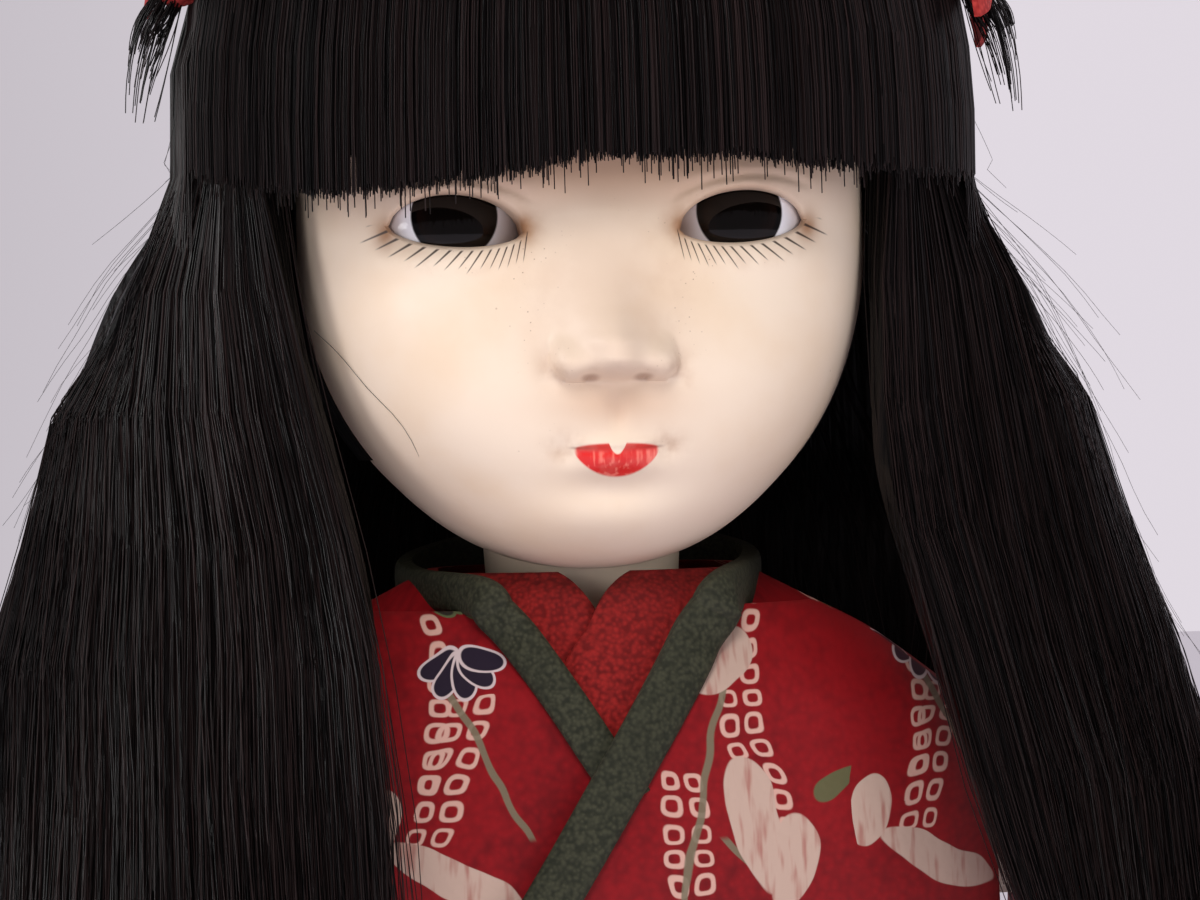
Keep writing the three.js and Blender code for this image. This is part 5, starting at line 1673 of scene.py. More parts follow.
    def brow(self) -> None:
        """The fringe, cut straight across the brow."""
        v, u = shares(30, 120)
        turn = mix(-self.fringe_turn, self.fringe_turn, u) * 0.84
        z = mix(self.fringe_bottom + 2.2, self.top - 8, v)
        full = (1 - 0.75 * np.abs(2 * u - 1) ** 3) * (1 - 0.6 * v * v)
        ripple = 0.1 * np.sin(u * 140) + 0.08 * np.sin(u * 217 + 1)
        swell = (0.82 + ripple) * self.fringe_thickness * full * (0.7 + 0.3 * ease(v, 0, 0.1))
        outer = self.dome(turn, z, 0.6 + swell)
        inner = self.dome(turn, z, 0.6)
        mass = Mould().shell(from_chin(outer), from_chin(inner)).piece("fringe_mass", HAIR_MASS, 80)
        belong(mass, "head", "hair", "fringe")
        rng = np.random.default_rng(33)
        for part, count in zip(("outer", "inner"), self.fringe_strands):
            u = rng.uniform(0, 1, count)
            turn = mix(-self.fringe_turn, self.fringe_turn, u) * 0.98
            full = 1 - 0.75 * np.abs(2 * u - 1) ** 3
            depth = rng.uniform(0.82, 1.06, count) if part == "outer" else rng.uniform(0.02, 1.0, count)
            stray = rng.random(count) < 0.06
            tip = self.edge(turn) + rng.normal(0, 0.45, count) - np.where(stray, rng.uniform(0.5, 3.0, count), 0)
            t = np.linspace(0, 1, 11)[None]
            z = mix(self.crown - 0.01, tip[:, None], t ** 1.5)
            share = (z - self.fringe_bottom) / (self.top - 8 - self.fringe_bottom)
            swell = depth[:, None] * self.fringe_thickness * full[:, None]
            lift = 0.6 + swell * (1 - 0.6 * np.clip(share, 0, 1.1) ** 2)
            lean = rng.normal(0, 0.012, count)[:, None] * t
            lines = from_chin(self.dome(turn[:, None] + lean, z, lift * ease(-z, -95.9, -88)))
            lines[..., 2] += 0.8 * ease(z, 86, 94)
            strands = self.tree.grow(f"fringe_{part}_strands", lines, self.strand, self.strand * 0.9, 0.5,
                                     33 + count)
            belong(strands, "head", "hair")

    def edge(self, turn: Array) -> Array:
        """Height of the cut edge of the fringe round the brow.

        Args:
            turn: Angles round the head; 0 is the front.

        Returns:
            The heights above the chin.
        """
        line = through((-74, 45.5), (-60, 43.2), (-40, 41.6), (-20, 42.6), (0, 44.6), (20, 44.6), (40, 43.4),
                       (74, 43.6))
        return line(np.degrees(turn))

    def swing(self, hair: bpy.types.Object) -> None:
        """Bakes the hair's placement into its mesh."""
        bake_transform(hair)

    def fall(self) -> None:
        """Side locks and back hair: they leave the head and lie on the shoulders."""
        curtains: list[tuple[str, Surface, int, float]] = [
            (f"side_lock_{side.label}", partial(self.lock, side), self.lock_strands, 0.03) for side in Side]
        curtains.append(("back_hair", self.nape, self.back_strands, 0.12))
        for number, (name, surface, count, edge) in enumerate(curtains):
            mass = self.mass(f"{name}_mass", surface, 0.95, 0.62)
            self.swing(mass)
            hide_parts(name)
            for layer in range(2):
                grown = round(count * (1 - 0.28 * layer))
                lines = self.hang(surface, grown, 50 + 7 * number + layer, 12, edge)
                self.swing(self.tree.grow(f"{name}_strands_{layer + 1}", lines, self.strand, self.strand * 0.7,
                                          2.4 + 1.2 * layer, 60 + number + 10 * layer))
            LOG.info("%s hangs from the cap", name)

    def tufts(self) -> None:
        """The short tied tuft at each temple and its ribbon."""
        low = self.fringe_thickness * 0.75 + 0.9
        knot = (low + 2) / 2
        rng = np.random.default_rng(77)
        for side in Side:
            def at(turn: Array, z: Array, lift: Array) -> Array:
                """Points beside the head."""
                return from_chin(self.dome(side.value * turn, z, lift))

            v, u = shares(14, 41, -1)
            rise = self.ribbon_width / 2 * (0.3 + 0.7 * np.abs(u)) * v
            pleat = 0.35 * np.sin(v * 9) * (1 - np.abs(u)) + 0.7 * np.abs(u) * np.cos(u * 7)
            droop, lift = (3.2, 0.0) if side is Side.LEFT else (0.4, 1.8)
            turn, z = self.knot_turn + 0.34 * u, self.knot_z + lift + rise - droop * np.abs(u)
            bow = Mould().shell(at(turn, z, low + 1.6 + pleat), at(turn, z, low + 0.9 + pleat))
            centre = at(np.array(self.knot_turn), np.array(self.knot_z), np.array(knot - GAP))
            ring = turns(24)[None]
            tall = np.linspace(0.05, math.pi - 0.05, 14)[:, None]
            pinch = 1 + 0.08 * np.cos(5 * ring)
            bow.loft(centre + knot * stack(np.sin(tall) * np.cos(ring) * pinch, np.sin(tall) * np.sin(ring) * pinch,
                                           -np.cos(tall)))
            ribbon = bow.piece(f"hair_ribbon_{side.label}_bow", RIBBON_CREPE)
            belong(ribbon, "head", "red_crepe", f"hair_ribbon_{side.label}")
            cut_cloth(ribbon, Held.FOLDED, "hair_cap_mass", width=self.ribbon_cut)
            count = self.tuft_strands
            around, wide = rng.uniform(0, 2 * math.pi, count), np.sqrt(rng.random(count))
            t = np.linspace(0, 1, 8)[None]
            swell = (1.6 + 1.0 * np.sin(math.pi * (0.15 + 0.75 * t))) * wide[:, None]
            drop = self.tuft_length * (0.25 + 0.62 * rng.random(count) ** 3)[:, None]
            top = self.knot_z - knot + 1.2
            spot = at(self.knot_turn + 0.02 * t, top - t * drop, 3.4 + 1.8 * t)
            out = np.array([side.value, 0.0, 0.0])
            lines = spot + swell[..., None] * (np.cos(around)[:, None, None] * np.array([0.0, 1.0, 0.0])
                                               + np.sin(around)[:, None, None] * out)
            tuft = self.tree.grow(f"side_tuft_{side.label}_strands", lines, self.strand, self.strand * 0.8, 1.2, 78)
            belong(tuft, "head", "hair", f"side_tuft_{side.label}")

    def temples(self) -> None:
        """Hair that lies against the sides of the head, from the edge of the face backwards."""
        v, u = shares(40, 40)
        sides = Mould()
        for side in Side:
            turn = mix(math.radians(79), math.radians(150), u)
            skin = self.head.surface(side.value * turn, mix(12.0, 60.0, v))
            reach = np.hypot(skin[..., 0], skin[..., 1])[..., None]
            outer, inner = skin.copy(), skin.copy()
            outer[..., :2] *= 1 + (0.15 + 1.1 * ease(u, 0, 0.3) + 0.12 * np.sin(90 * u))[..., None] / reach
            inner[..., :2] *= 1 - 0.8 / reach
            sides.shell(from_chin(outer), from_chin(inner))
        belong(sides.piece("temple_hair", HAIR_MASS, 80), "head", "hair")

    def strays(self) -> None:
        """Loose hairs that stand off the locks, and one across the right cheek."""
        rng = np.random.default_rng(91)
        count = self.stray_hairs
        side = np.where(rng.random(count) < 0.68, 1.0, -1.0)
        z0 = rng.uniform(10, 62, count)
        length = rng.uniform(14, 42, count)
        t = np.linspace(0, 1, 14)[None]
        out = rng.uniform(1.5, 9.0, count)[:, None] * t ** 1.4
        curl = rng.normal(0, 3.0, count)[:, None] * np.sin(t * rng.uniform(2, 5, count)[:, None]) * t
        z = z0[:, None] - length[:, None] * t
        v = np.clip((self.rim - z) / self.length, 0, 1)
        base = np.where(z > self.rim, self.half_width - 1, mix(self.half_width, self.spread, self.widening(v)) - 4)
        y = mix(2.0, -20.0, v) + rng.normal(0, 4, count)[:, None] + curl
        lines = from_chin(stack(side[:, None] * np.minimum(base + out + 0.6 * curl, self.spread + 4), y, z))
        cheek = spline([(-31.5, 27), (-28.9, 24), (-26.0, 20), (-22.7, 16), (-20.3, 11.5), (-19.6, 8)], 14)
        lines = np.concatenate([lines, stack(cheek[:, 0], self.head.face_y(cheek[:, 0], cheek[:, 1]) - 0.5,
                                             cheek[:, 1] + CHIN)[None]])
        self.swing(self.tree.grow("stray_hairs", lines, 0.04, 0.025, 3.0, 92))

    def build(self) -> None:
        """Makes all of the wig."""
        self.cover()
        self.brow()
        self.fall()
        self.tufts()
        self.temples()
        self.strays()


# Kimono

@dataclass
class Robe:
    """The kimono: body, front panels, collars, skirt and padded hem, measured from the top of the stand."""

    shoulder: float = 268.0
    top: float = 303.0
    bottom: float = 188.0
    sash_low: float = 190.0
    sash_high: float = 236.0
    half_width: float = 48.5
    waist_half: float = 39.0
    chest_depth: float = 24.0
    waist_depth: float = 26.0
    back_depth: float = 20.0
    neck: float = 11.5
    hem_half: float = 45.5
    hem_depth: float = 34.0
    hem_low: float = 20.8
    hem_roll: float = 2.6
    overlap_edge: float = 24.0
    cloth: float = 0.8
    power: float = 2.3
    chin: float = 304.0
    body_cut: tuple[float, float] = (262.0, 118.0)  # width and length of the flat cut
    skirt_cut: tuple[float, float] = (262.0, 162.0)
    panel_cut: float = 64.0  # length of a front panel's cut
    collar_cut: float = 10.0  # widths of the collars' cuts
    under_cut: float = 12.0

    def __post_init__(self) -> None:
        """Prepares the curves of the dressed figure."""
        waist = (self.sash_low + self.sash_high) / 2
        up = self.top - self.shoulder
        self.width = through((self.bottom, self.waist_half + 2), (waist, self.waist_half),
                             (self.sash_high, self.waist_half + 3), (self.shoulder - 6, self.half_width),
                             (self.shoulder + 8, self.half_width * 0.985),
                             (self.shoulder + 0.5 * up, self.half_width * 0.92),
                             (self.shoulder + 0.75 * up, self.half_width * 0.72),
                             (self.shoulder + 0.9 * up, self.half_width * 0.52), (self.top, self.neck + 7))
        self.front = through((self.bottom, self.waist_depth + 2), (waist, self.waist_depth),
                             (self.sash_high, self.waist_depth), (self.shoulder, self.chest_depth),
                             (self.shoulder + 0.5 * up, self.chest_depth * 0.84), (self.top, self.neck + 2))
        self.back = through((self.bottom, self.back_depth + 4), (waist, self.back_depth + 2),
                            (self.sash_high, self.back_depth + 1), (self.shoulder, self.back_depth),
                            (self.top, self.neck + 4.5))
        self.hem_top = self.hem_low + 2 * self.hem_roll + GAP
        self.skirt_top = self.bottom - GAP
        rise = self.skirt_top - self.hem_top
        self.skirt_width = through((self.hem_low, self.hem_half), (self.hem_top + 0.35 * rise, self.hem_half - 1),
                                   (self.hem_top + 0.75 * rise, self.hem_half),
                                   (self.skirt_top, self.waist_half + 2))
        self.skirt_front = through((self.hem_low, self.hem_depth),
                                   (self.hem_top + 0.6 * rise, mix(self.hem_depth, self.waist_depth, 0.4)),
                                   (self.skirt_top, self.waist_depth + 2))
        self.skirt_back = through((self.hem_low, self.hem_depth * 0.86),
                                  (self.hem_top + 0.7 * rise, self.back_depth + 7),
                                  (self.skirt_top, self.back_depth + 4))

    def ring(self, turn: Array, z: Array, grow: Array) -> Array:
        """Points round the dressed body at a height."""
        x, y = oval(turn, self.width(z) + grow, self.front(z) + grow, self.back(z) + grow, self.power)
        return stack(x, y, z)

    def chest(self, x: Array, z: Array, raise_by: Array) -> Array:
        """Points on the front of the body, raised off the cloth."""
        t = np.clip(x / (self.width(z) + raise_by), -0.999, 0.999)
        return stack(x, -(self.front(z) + raise_by) * rounded(t, self.power), z)

    def place(self, points: Array) -> Array:
        """Points above the table instead of above the stand."""
        return points + (0, 0, FIGURE_BASE)

    @staticmethod
    def girth(points: Array) -> Array:
        """Signed distance along each row of points from its middle.

        Args:
            points: Points, row by row.

        Returns:
            The distances.
        """
        step = np.linalg.norm(np.diff(points, axis=1), axis=2)
        run = np.concatenate([np.zeros((len(points), 1)), np.cumsum(step, axis=1)], axis=1)
        return run - run[:, run.shape[1] // 2][:, None]

    def wrapped(self, surface: Surface, z: Array, outer: float, inner: float, columns: int = 144) -> Mould:
        """A tube of cloth all round the figure, with its flat map.

        Args:
            surface: Points from turn, height and growth.
            z: Heights of its rows.
            outer: Growth of its outer face.
            inner: Growth of its inner face.
            columns: Points round it.

        Returns:
            The mould.
        """
        turn = np.linspace(-math.pi, math.pi, columns + 1)
        full = surface(turn[None], z[:, None], outer)
        flat = np.stack([self.girth(full), np.broadcast_to(z[:, None] - self.chin, full.shape[:2])], -1)
        inside = surface(turn[None, :-1], z[:, None], inner)
        return Mould().shell(self.place(full[:, :-1]), self.place(inside), flat, True)

    def body(self) -> None:
        """The body of the kimono with its sloping shoulders."""
        z = np.concatenate([np.linspace(self.bottom, self.shoulder, 50),
                            np.linspace(self.shoulder + 0.7, self.top, 46)])

        def surface(turn: Array, level: Array, grow: float) -> Array:
            """The dressed body with soft creases below the shoulders.

            Args:
                turn: Angles round the figure.
                level: Heights above the stand.
                grow: How far outside the body.

            Returns:
                The points.
            """
            crease = 0.35 * np.sin(5 * turn + 0.09 * level) * np.sin(0.13 * level + 2 * turn)
            fade = ease(level, self.sash_high, self.sash_high + 12) * (1 - ease(level, 288, 298))
            points = self.ring(turn, level, grow + crease * fade)
            points[..., 2] -= 14 * ease(level, 284, 303) * np.clip(np.cos(turn), 0, 1) ** 1.2
            return points

        robe = self.wrapped(surface, z, 0.0, -1.2).piece("kimono_body_cloth", PRINT)
        cut_cloth(robe, Held.DRAPED, "torso_core", *self.body_cut)
        belong(robe, "figure", "kimono_silk", "kimono_body")

    def line(self, z: Array) -> Array:
        """The middle of the over-collar, across the chest, at a height."""
        across = through((-68, -26), (-45, -11.8), (-26.2, 0), (-14.5, 7.4), (-6.2, 12.4), (-1.6, 16), (0.4, 17.4))
        return across(z - self.chin)

    def under_line(self, z: Array) -> Array:
        """The middle of the collar that passes under it."""
        return -through((-40, -11.3), (-22.9, 0), (-16.3, 4), (-6.2, 11.0), (-1.6, 15.0), (0.4, 16.6))(z - self.chin)

    def panels(self) -> None:
        """The two front panels, the doll's left over its right."""
        for side, edge, low, layer in ((Side.RIGHT, self.under_line, -62.0, 0.8),
                                       (Side.LEFT, self.line, -67.7, 2.4)):
            v, u = shares(70, 60)
            z = mix(self.chin + low, self.chin - 5.5, v)
            start = edge(z) if side is Side.LEFT else np.maximum(edge(z), -self.width(z) * 0.8)
            x = mix(start, side.value * self.width(z) * 0.97, u)
            crease = 0.3 * np.sin(11 * u + 5 * v) * np.sin(4 * v + 6 * u) * ease(u, 0.05, 0.3)
            lift = mix(layer, 0.15, ease(u, 0.5, 1.0)) * (1 - 0.9 * ease(v, 0.82, 1.0)) + crease * 0.6
            outer = self.chest(x, z, np.maximum(lift, 0.05) + self.cloth)
            inner = self.chest(x, z, np.minimum(lift, 0.0) - 0.3)
            flat = np.stack([x, z - self.chin], -1)
            cloth = Mould().shell(self.place(outer), self.place(inner), flat).piece(
                f"kimono_front_{side.label}_cloth", PRINT)
            cut_cloth(cloth, Held.FOLDED, "kimono_body_cloth", length=self.panel_cut)
            belong(cloth, "figure", "kimono_silk", f"kimono_front_{side.label}")

    def band(self, path: Array, width: float, thick: float, name: str, finish: Finish,
             rows: int = 90) -> bpy.types.Object:
        """A folded band of cloth that lies on the body along a path.

        Args:
            path: Points along its middle, measured from the top of the stand.
            width: Its width.
            thick: Its thickness.
            name: Name of the piece.
            finish: Its finish.
            rows: Points along it.

        Returns:
            The piece.
        """
        path = spline(path, rows)
        along = unit(np.gradient(path, axis=0))
        out = path * (1, 1, 0) - (0, 2, 0)
        out[:, 0] *= 0.55
        across = unit(np.cross(along, unit(out)))
        out = np.cross(across, along)
        t = np.linspace(-1, 1, 15)
        rise = thick * (0.35 + 0.65 * rounded(t * 0.985, 4))
        wobble = 0.12 * np.sin(np.arange(rows) * 0.35)[:, None] * t
        sunk = 0.25 * width ** 2 / 40 * t ** 2
        side = across[:, None] * (t[None, :, None] * width / 2)
        outer = path[:, None] + side + out[:, None] * (rise + wobble - sunk)[..., None]
        inner = path[:, None] + side * 0.97 - out[:, None] * (0.5 + sunk)[..., None]
        run = np.concatenate([[0], np.cumsum(np.linalg.norm(np.diff(path, axis=0), axis=1))])
        flat = stack(t[None] * width / 2, run[:, None], 0.0)[..., :2]
        return Mould().shell(self.place(outer), self.place(inner), flat).piece(name, finish, 70)

    def collars(self) -> None:
        """Green collars over red under-collars, crossed below the throat and carried round the nape."""
        c = self.chin

        def rise(edge: Curve, levels: Sequence[float], lift: float) -> Array:
            """Points up the chest along an edge."""
            z = c + np.array(levels, float)
            return self.chest(edge(z), z, np.full(len(z), lift))

        nape = np.array([[19.6, 2.0, c - 3.2], [19.4, 11.5, c - 1.6], [11.0, 19.0, c + 0.4], [0.0, 21.0, c + 0.8]])
        for side, edge, lift, width, levels in (
                (Side.LEFT, self.line, 3.6, 5.9, (-67, -56, -45, -36, -26, -18, -11.6, -8.6, -6.2, -4.2)),
                (Side.RIGHT, self.under_line, 1.9, 4.7, (-27, -22, -16, -11, -8.2, -5.8, -3.8))):
            front = rise(edge, levels, lift)
            front[-2:, :2] *= 1.03
            path = np.concatenate([front, nape * (side.value, 1, 1)])
            collar = self.band(path, width, 1.7, f"date_collar_{side.label}_band", GREEN_CREPE)
            cut_cloth(collar, Held.FOLDED, f"kimono_front_{side.label}_cloth", width=self.collar_cut)
            belong(collar, "figure", "green_crepe", f"date_collar_{side.label}")

        for side, lift, inner_points in (
                (Side.RIGHT, 0.55, ((-24, 9.5), (-18, 7.5), (-12, 4.0), (-7.5, 0.9), (-5.2, -0.5), (-3.6, -1.6),
                                    (-2.1, -3.0), (-1.2, -4.4), (-0.5, -6.0))),
                (Side.LEFT, 1.75, ((-24, 0.4), (-20, -1.6), (-16, -3.6), (-12, -4.4), (-10.1, -3.4), (-7.5, -1.4),
                                   (-5.2, -0.2), (-3.6, 0.9), (-2.1, 2.6), (-1.2, 4.2), (-0.5, 6.0)))):
            free = through(*inner_points)
            edge = self.line if side is Side.LEFT else self.under_line
            v, u = shares(60, 30)
            z = mix(c - 23.5, c - 1.3, v)
            lift = lift - 1.1 * ease(z, c - 4.0, c - 1.3)
            held = edge(z)
            start = free(z - c)
            start = np.minimum(start, held - GAP) if side is Side.LEFT else np.maximum(start, held + GAP)
            x = mix(start, held, u)
            roll = -0.5 * (1 - ease(u, 0.0, 0.14))
            outer = self.chest(x, z, lift + self.cloth + roll)
            inner = self.chest(x, z, lift - 0.5)
            flat = np.stack([x, z - c], -1)
            crepe = Mould().shell(self.place(outer), self.place(inner), flat).piece(
                f"under_collar_{side.label}_crepe", RED_CREPE, 70)
            cut_cloth(crepe, Held.FOLDED, "kimono_body_cloth", width=self.under_cut)
            belong(crepe, "figure", "red_crepe", f"under_collar_{side.label}")

    def skirt_surface(self, turn: Array, z: Array, grow: Array) -> Array:
        """Points of the skirt, whose folds deepen towards the hem.

        Args:
            turn: Angles round the figure.
            z: Heights above the stand.
            grow: How far outside the skirt.

        Returns:
            The points.
        """
        x, y = oval(turn, self.skirt_width(z), self.skirt_front(z), self.skirt_back(z), self.power)
        reach = np.hypot(x, y)
        fall = ease(self.skirt_top - z, 20, self.skirt_top - self.hem_low)
        s = np.sin(turn)
        fold = 0.9 * fall * np.cos(9 * turn + 0.8) * (0.35 + 0.65 * s * s)
        fold = fold + 0.35 * fall * np.sin(23 * turn + 0.02 * z) + 0.25 * np.sin(0.11 * z + 4 * turn) * (1 - fall)
        grown = (reach + grow + fold) / reach
        return stack(x * grown, y * grown, z)

    def skirt(self) -> None:
        """Skirt, over-flap, padded hem and the wadded under skirt."""
        z = np.linspace(self.hem_top, self.skirt_top, 90)
        cloth = self.wrapped(self.skirt_surface, z, 0.0, -1.2, 180).piece("kimono_skirt_cloth", PRINT)
        cut_cloth(cloth, Held.HUNG, "torso_core", *self.skirt_cut)
        belong(cloth, "figure", "kimono_silk", "kimono_skirt")

        v, u = shares(90, 80)
        level = mix(self.hem_top, self.skirt_top, v)
        edge = -np.arcsin(np.clip(self.overlap_edge * mix(1, 0.55, v) / self.hem_half, 0, 1))
        turn = mix(edge, math.pi * 0.46, u)
        lift = 0.8 * (1 - ease(u, 0.8, 1.0)) + 0.5 * (1 - ease(u, 0, 0.12)) * (1 - v)
        outer = self.skirt_surface(turn, level, lift + 0.9)
        inner = self.skirt_surface(turn, level, lift * 0.3)
        flat = np.stack([self.girth(outer), level - self.chin], -1)
        flap = Mould().shell(self.place(outer), self.place(inner), flat).piece("skirt_overlap_cloth", PRINT)
        cut_cloth(flap, Held.HUNG, "kimono_skirt_cloth", length=self.skirt_cut[1])
        belong(flap, "figure", "kimono_silk", "skirt_overlap")

        rings = [self.skirt_surface(turns(180), np.full(180, self.hem_low + self.hem_roll * (1 + math.sin(a))),
                                    self.hem_roll * 0.62 * math.cos(a) - 0.35) for a in turns(20)]
        rings = np.array(rings + rings[:1])
        roll = Mould().shell(self.place(rings[:11]), self.place(rings[:9:-1]), None, True)
        hem = roll.piece("hem_roll_pad", LINING_SILK, 80)
        belong(hem, "figure", "lining_silk", "hem_roll")

        z = np.linspace(self.hem_low + 0.6, 155, 40)

        def quilted(turn: Array, level: Array, grow: float) -> Array:
            """The skirt with the hollows of its wadding."""
            return self.skirt_surface(turn, level, grow + 0.7 * np.sin(0.35 * level) * np.cos(12 * turn))

        pad = self.wrapped(quilted, z, -2.6, -8.0, 120).piece("under_skirt_wadding", COTTON)
        belong(pad, "figure", "cotton", "under_skirt")

    def build(self) -> None:
        """Makes all of the kimono but its sleeves."""
        self.body()
        self.panels()
        self.collars()
        self.skirt()


@dataclass
class Sash:
    """The sash with its tied cord and the bow at the back."""

    robe: Robe
    thickness: float = 4.0
    bow_half: float = 42.0
    bow_height: float = 36.0
    bow_depth: float = 15.0
    bow_cloth: float = 1.1
    tail: float = 66.0
    cut: tuple[float, float] = (250.0, 46.0)  # width and length of the flat cut

    def __post_init__(self) -> None:
        """Places the bow behind the sash."""
        self.waist = (self.robe.sash_low + self.robe.sash_high) / 2
        self.middle = float(self.robe.back(np.array(self.waist))) + self.thickness + 0.6 + self.bow_depth / 2
        self.reach = self.bow_height * 0.3
        self.knot_half = self.bow_half * 0.17

    def wrap(self) -> None:
        """The broad sash and the narrow braid round it."""
        robe = self.robe
        low, high = robe.sash_low, robe.sash_high
        middle, half = (low + high) / 2, (high - low) / 2
        z = np.concatenate([[low, low + 0.15, low + 0.5], np.linspace(low + 1.2, high - 1.2, 40),
                            [high - 0.5, high - 0.15, high]])

        def surface(turn: Array, level: Array, grow: float) -> Array:
            """The sash, fuller at its middle, with two folded edges.

            Args:
                turn: Angles round the figure.
                level: Heights above the stand.
                grow: Above 0 for the outer face.

            Returns:
                The points.
            """
            full = self.thickness * (0.75 + 0.25 * rounded((level - middle) / half, 3))
            fold = 0.5 * ease(level, high - 13, high - 12.4) - 0.45 * bell(level - middle, 2.2)
            edge = 1 - 0.75 * (1 - rounded(np.clip((level - middle) / half, -1, 1), 24))
            return robe.ring(turn, level, np.where(grow > 0, (full + fold) * edge, 0.35))

        cloth = robe.wrapped(surface, z, 1.0, 0.0, 160).piece("obi_cloth", SASH_CLOTH, 50)
        cut_cloth(cloth, Held.STRETCHED, "kimono_body_cloth", *self.cut)
        belong(cloth, "figure", "brocade", "obi")
        turn = turns(240)
        path = robe.place(robe.ring(turn, np.full(240, middle), np.full(240, self.thickness + 0.75)))
        braid = Mould()
        for k in range(3):
            phase = 46 * turn + k * 2 * math.pi / 3
            out = path.copy()
            out[:, 2] += 1.15 * np.sin(phase)
            line = out + unit(path * (1, 1, 0)) * (0.45 * np.sin(2 * phase))[:, None]
            a = turns(8)
            way = unit(np.roll(line, -1, 0) - np.roll(line, 1, 0))
            across = unit(np.cross(way, (0, 0, 1.0)))
            third = np.cross(across, way)
            grid = line[:, None] + 0.62 * (np.cos(a)[None, :, None] * across[:, None]
                                           + np.sin(a)[None, :, None] * third[:, None])
            self._ring(braid, grid)
        cord = braid.piece("obi_braid", GREEN_CREPE, 80)
        belong(cord, "figure", "green_crepe")

    @staticmethod
    def _ring(mould: Mould, grid: Array) -> None:
        """Adds a closed ring-shaped tube from its sections.

        Args:
            mould: The mould to add to.
            grid: Points, section by section.
        """
        n, m = grid.shape[:2]
        j, i = (k.ravel() for k in np.mgrid[0:n, 0:m])
        a, b = j * m + i, j * m + (i + 1) % m
        c, d = ((j + 1) % n) * m + (i + 1) % m, ((j + 1) % n) * m + i
        faces = np.stack([a, b, c, d], 1)
        flat = np.stack([np.stack([i, j], 1)] * 4, 1).astype(float)
        mould.keep(grid.reshape(-1, 3), [faces], [flat])

    def knot(self) -> None:
        """The pleated knot."""
        t = np.linspace(-1, 1, 25)
        full = 0.82 + 0.18 * rounded(t, 3)
        turn = turns(56)
        s, c = np.sin(turn), np.cos(turn)
        far = (np.abs(s) ** 3 + np.abs(c) ** 3) ** (-1 / 3)
        pleat = 1 + 0.05 * np.sin(turn * 9)
        rings = stack((t * self.knot_half)[:, None],
                      self.middle + far * c * (self.bow_depth / 2 * full)[:, None] * pleat,
                      self.waist + far * s * (self.reach * full)[:, None])
        flat = stack(np.linspace(0, 60, 57)[None], (t * self.knot_half)[:, None], 0.0)[..., :2]
        knot = Mould().loft(self.robe.place(rings), flat).piece("bow_knot_cloth", SASH_CLOTH)
        belong(knot, "figure", "brocade", "bow_knot")

    def loop(self, side: Side) -> None:
        """One loop of the bow, from its two faces and the fold at its end.

        Args:
            side: Which loop.
        """
        robe, waist, middle = self.robe, self.waist, self.middle
        span = through((0, 0.5), (0.25, 0.72), (0.6, 1), (0.92, 0.97), (1, 0.86))
        swell = through((0, 0.45), (0.4, 0.92), (0.8, 0.9), (1, 0.5))
        across = np.linspace(-1, 1, 41)
        v, u = np.meshgrid(np.linspace(0, 1, 60), across, indexing="ij")
        arch = np.sqrt(np.clip(1 - np.abs(across) ** 6, 0, 1))
        deep = self.bow_depth / 2 * swell(v) * (0.86 * arch + 0.08)
        bulge = 0.6 * np.sin(u * 6 + 2 * v) * (1 - ease(v, 0.3, 0.9))
        x = side.value * mix(self.knot_half + GAP, self.bow_half, v)
        z = waist + self.bow_height / 2 * span(v) * u
        loops = Mould()
        for face in (1, -1):
            y = middle + face * np.maximum(deep + bulge, 1.3)
            loops.shell(robe.place(stack(x, y, z)), robe.place(stack(x, y - face * self.bow_cloth, z)),
                        np.stack([x, z - waist], -1))
        edge = np.linspace(-math.pi / 2, math.pi / 2, 24)[:, None]
        end, one = side.value * (self.bow_half - 1.2 + 1.2 * np.cos(edge)), np.array(1.0)
        y = middle + self.bow_depth / 2 * float(swell(one)) * 0.94 * np.sin(edge) * (0.86 * arch + 0.14)
        z = np.broadcast_to(waist + self.bow_height / 2 * float(span(one)) * across, y.shape)
        loops.shell(robe.place(stack(end, y, z)), robe.place(stack(end - side.value, y, z)),
                    np.stack([y, z - waist], -1))
        loop = loops.piece(f"bow_loop_{side.label}_cloth", SASH_CLOTH, 70)
        cut_cloth(loop, Held.FOLDED, "obi_cloth", length=self.bow_height)
        belong(loop, "figure", "brocade", f"bow_loop_{side.label}")

    def hang(self, side: Side) -> None:
        """One tail of the bow, hanging from the knot.

        Args:
            side: Which tail.
        """
        robe = self.robe
        back = max(float(robe.back(np.array(robe.sash_low))) + self.thickness,
                   float(robe.skirt_back(np.array(robe.hem_top)))) + 1.6
        v, u = shares(60, 40)
        x = side.value * mix(1, self.bow_half * mix(0.3, 0.52, v), u)
        wave = 0.7 * np.sin(3 * math.pi * u) * v + 0.25 * np.sin(9 * u + 2) * v
        z = self.waist - self.reach - GAP - v * self.tail
        outer, inner = (robe.place(stack(x, back + wave + lift, z)) for lift in (1.6, 0.3))
        tail = Mould().shell(outer, inner, np.stack([x, z - self.waist], -1)).piece(
            f"bow_tail_{side.label}_cloth", SASH_CLOTH, 70)
        cut_cloth(tail, Held.HUNG, "bow_knot_cloth", length=self.tail)
        belong(tail, "figure", "brocade", f"bow_tail_{side.label}")

    def build(self) -> None:
        """Makes the sash and its bow."""
        self.wrap()
        self.knot()
        for side in Side:
            self.loop(side)
            self.hang(side)


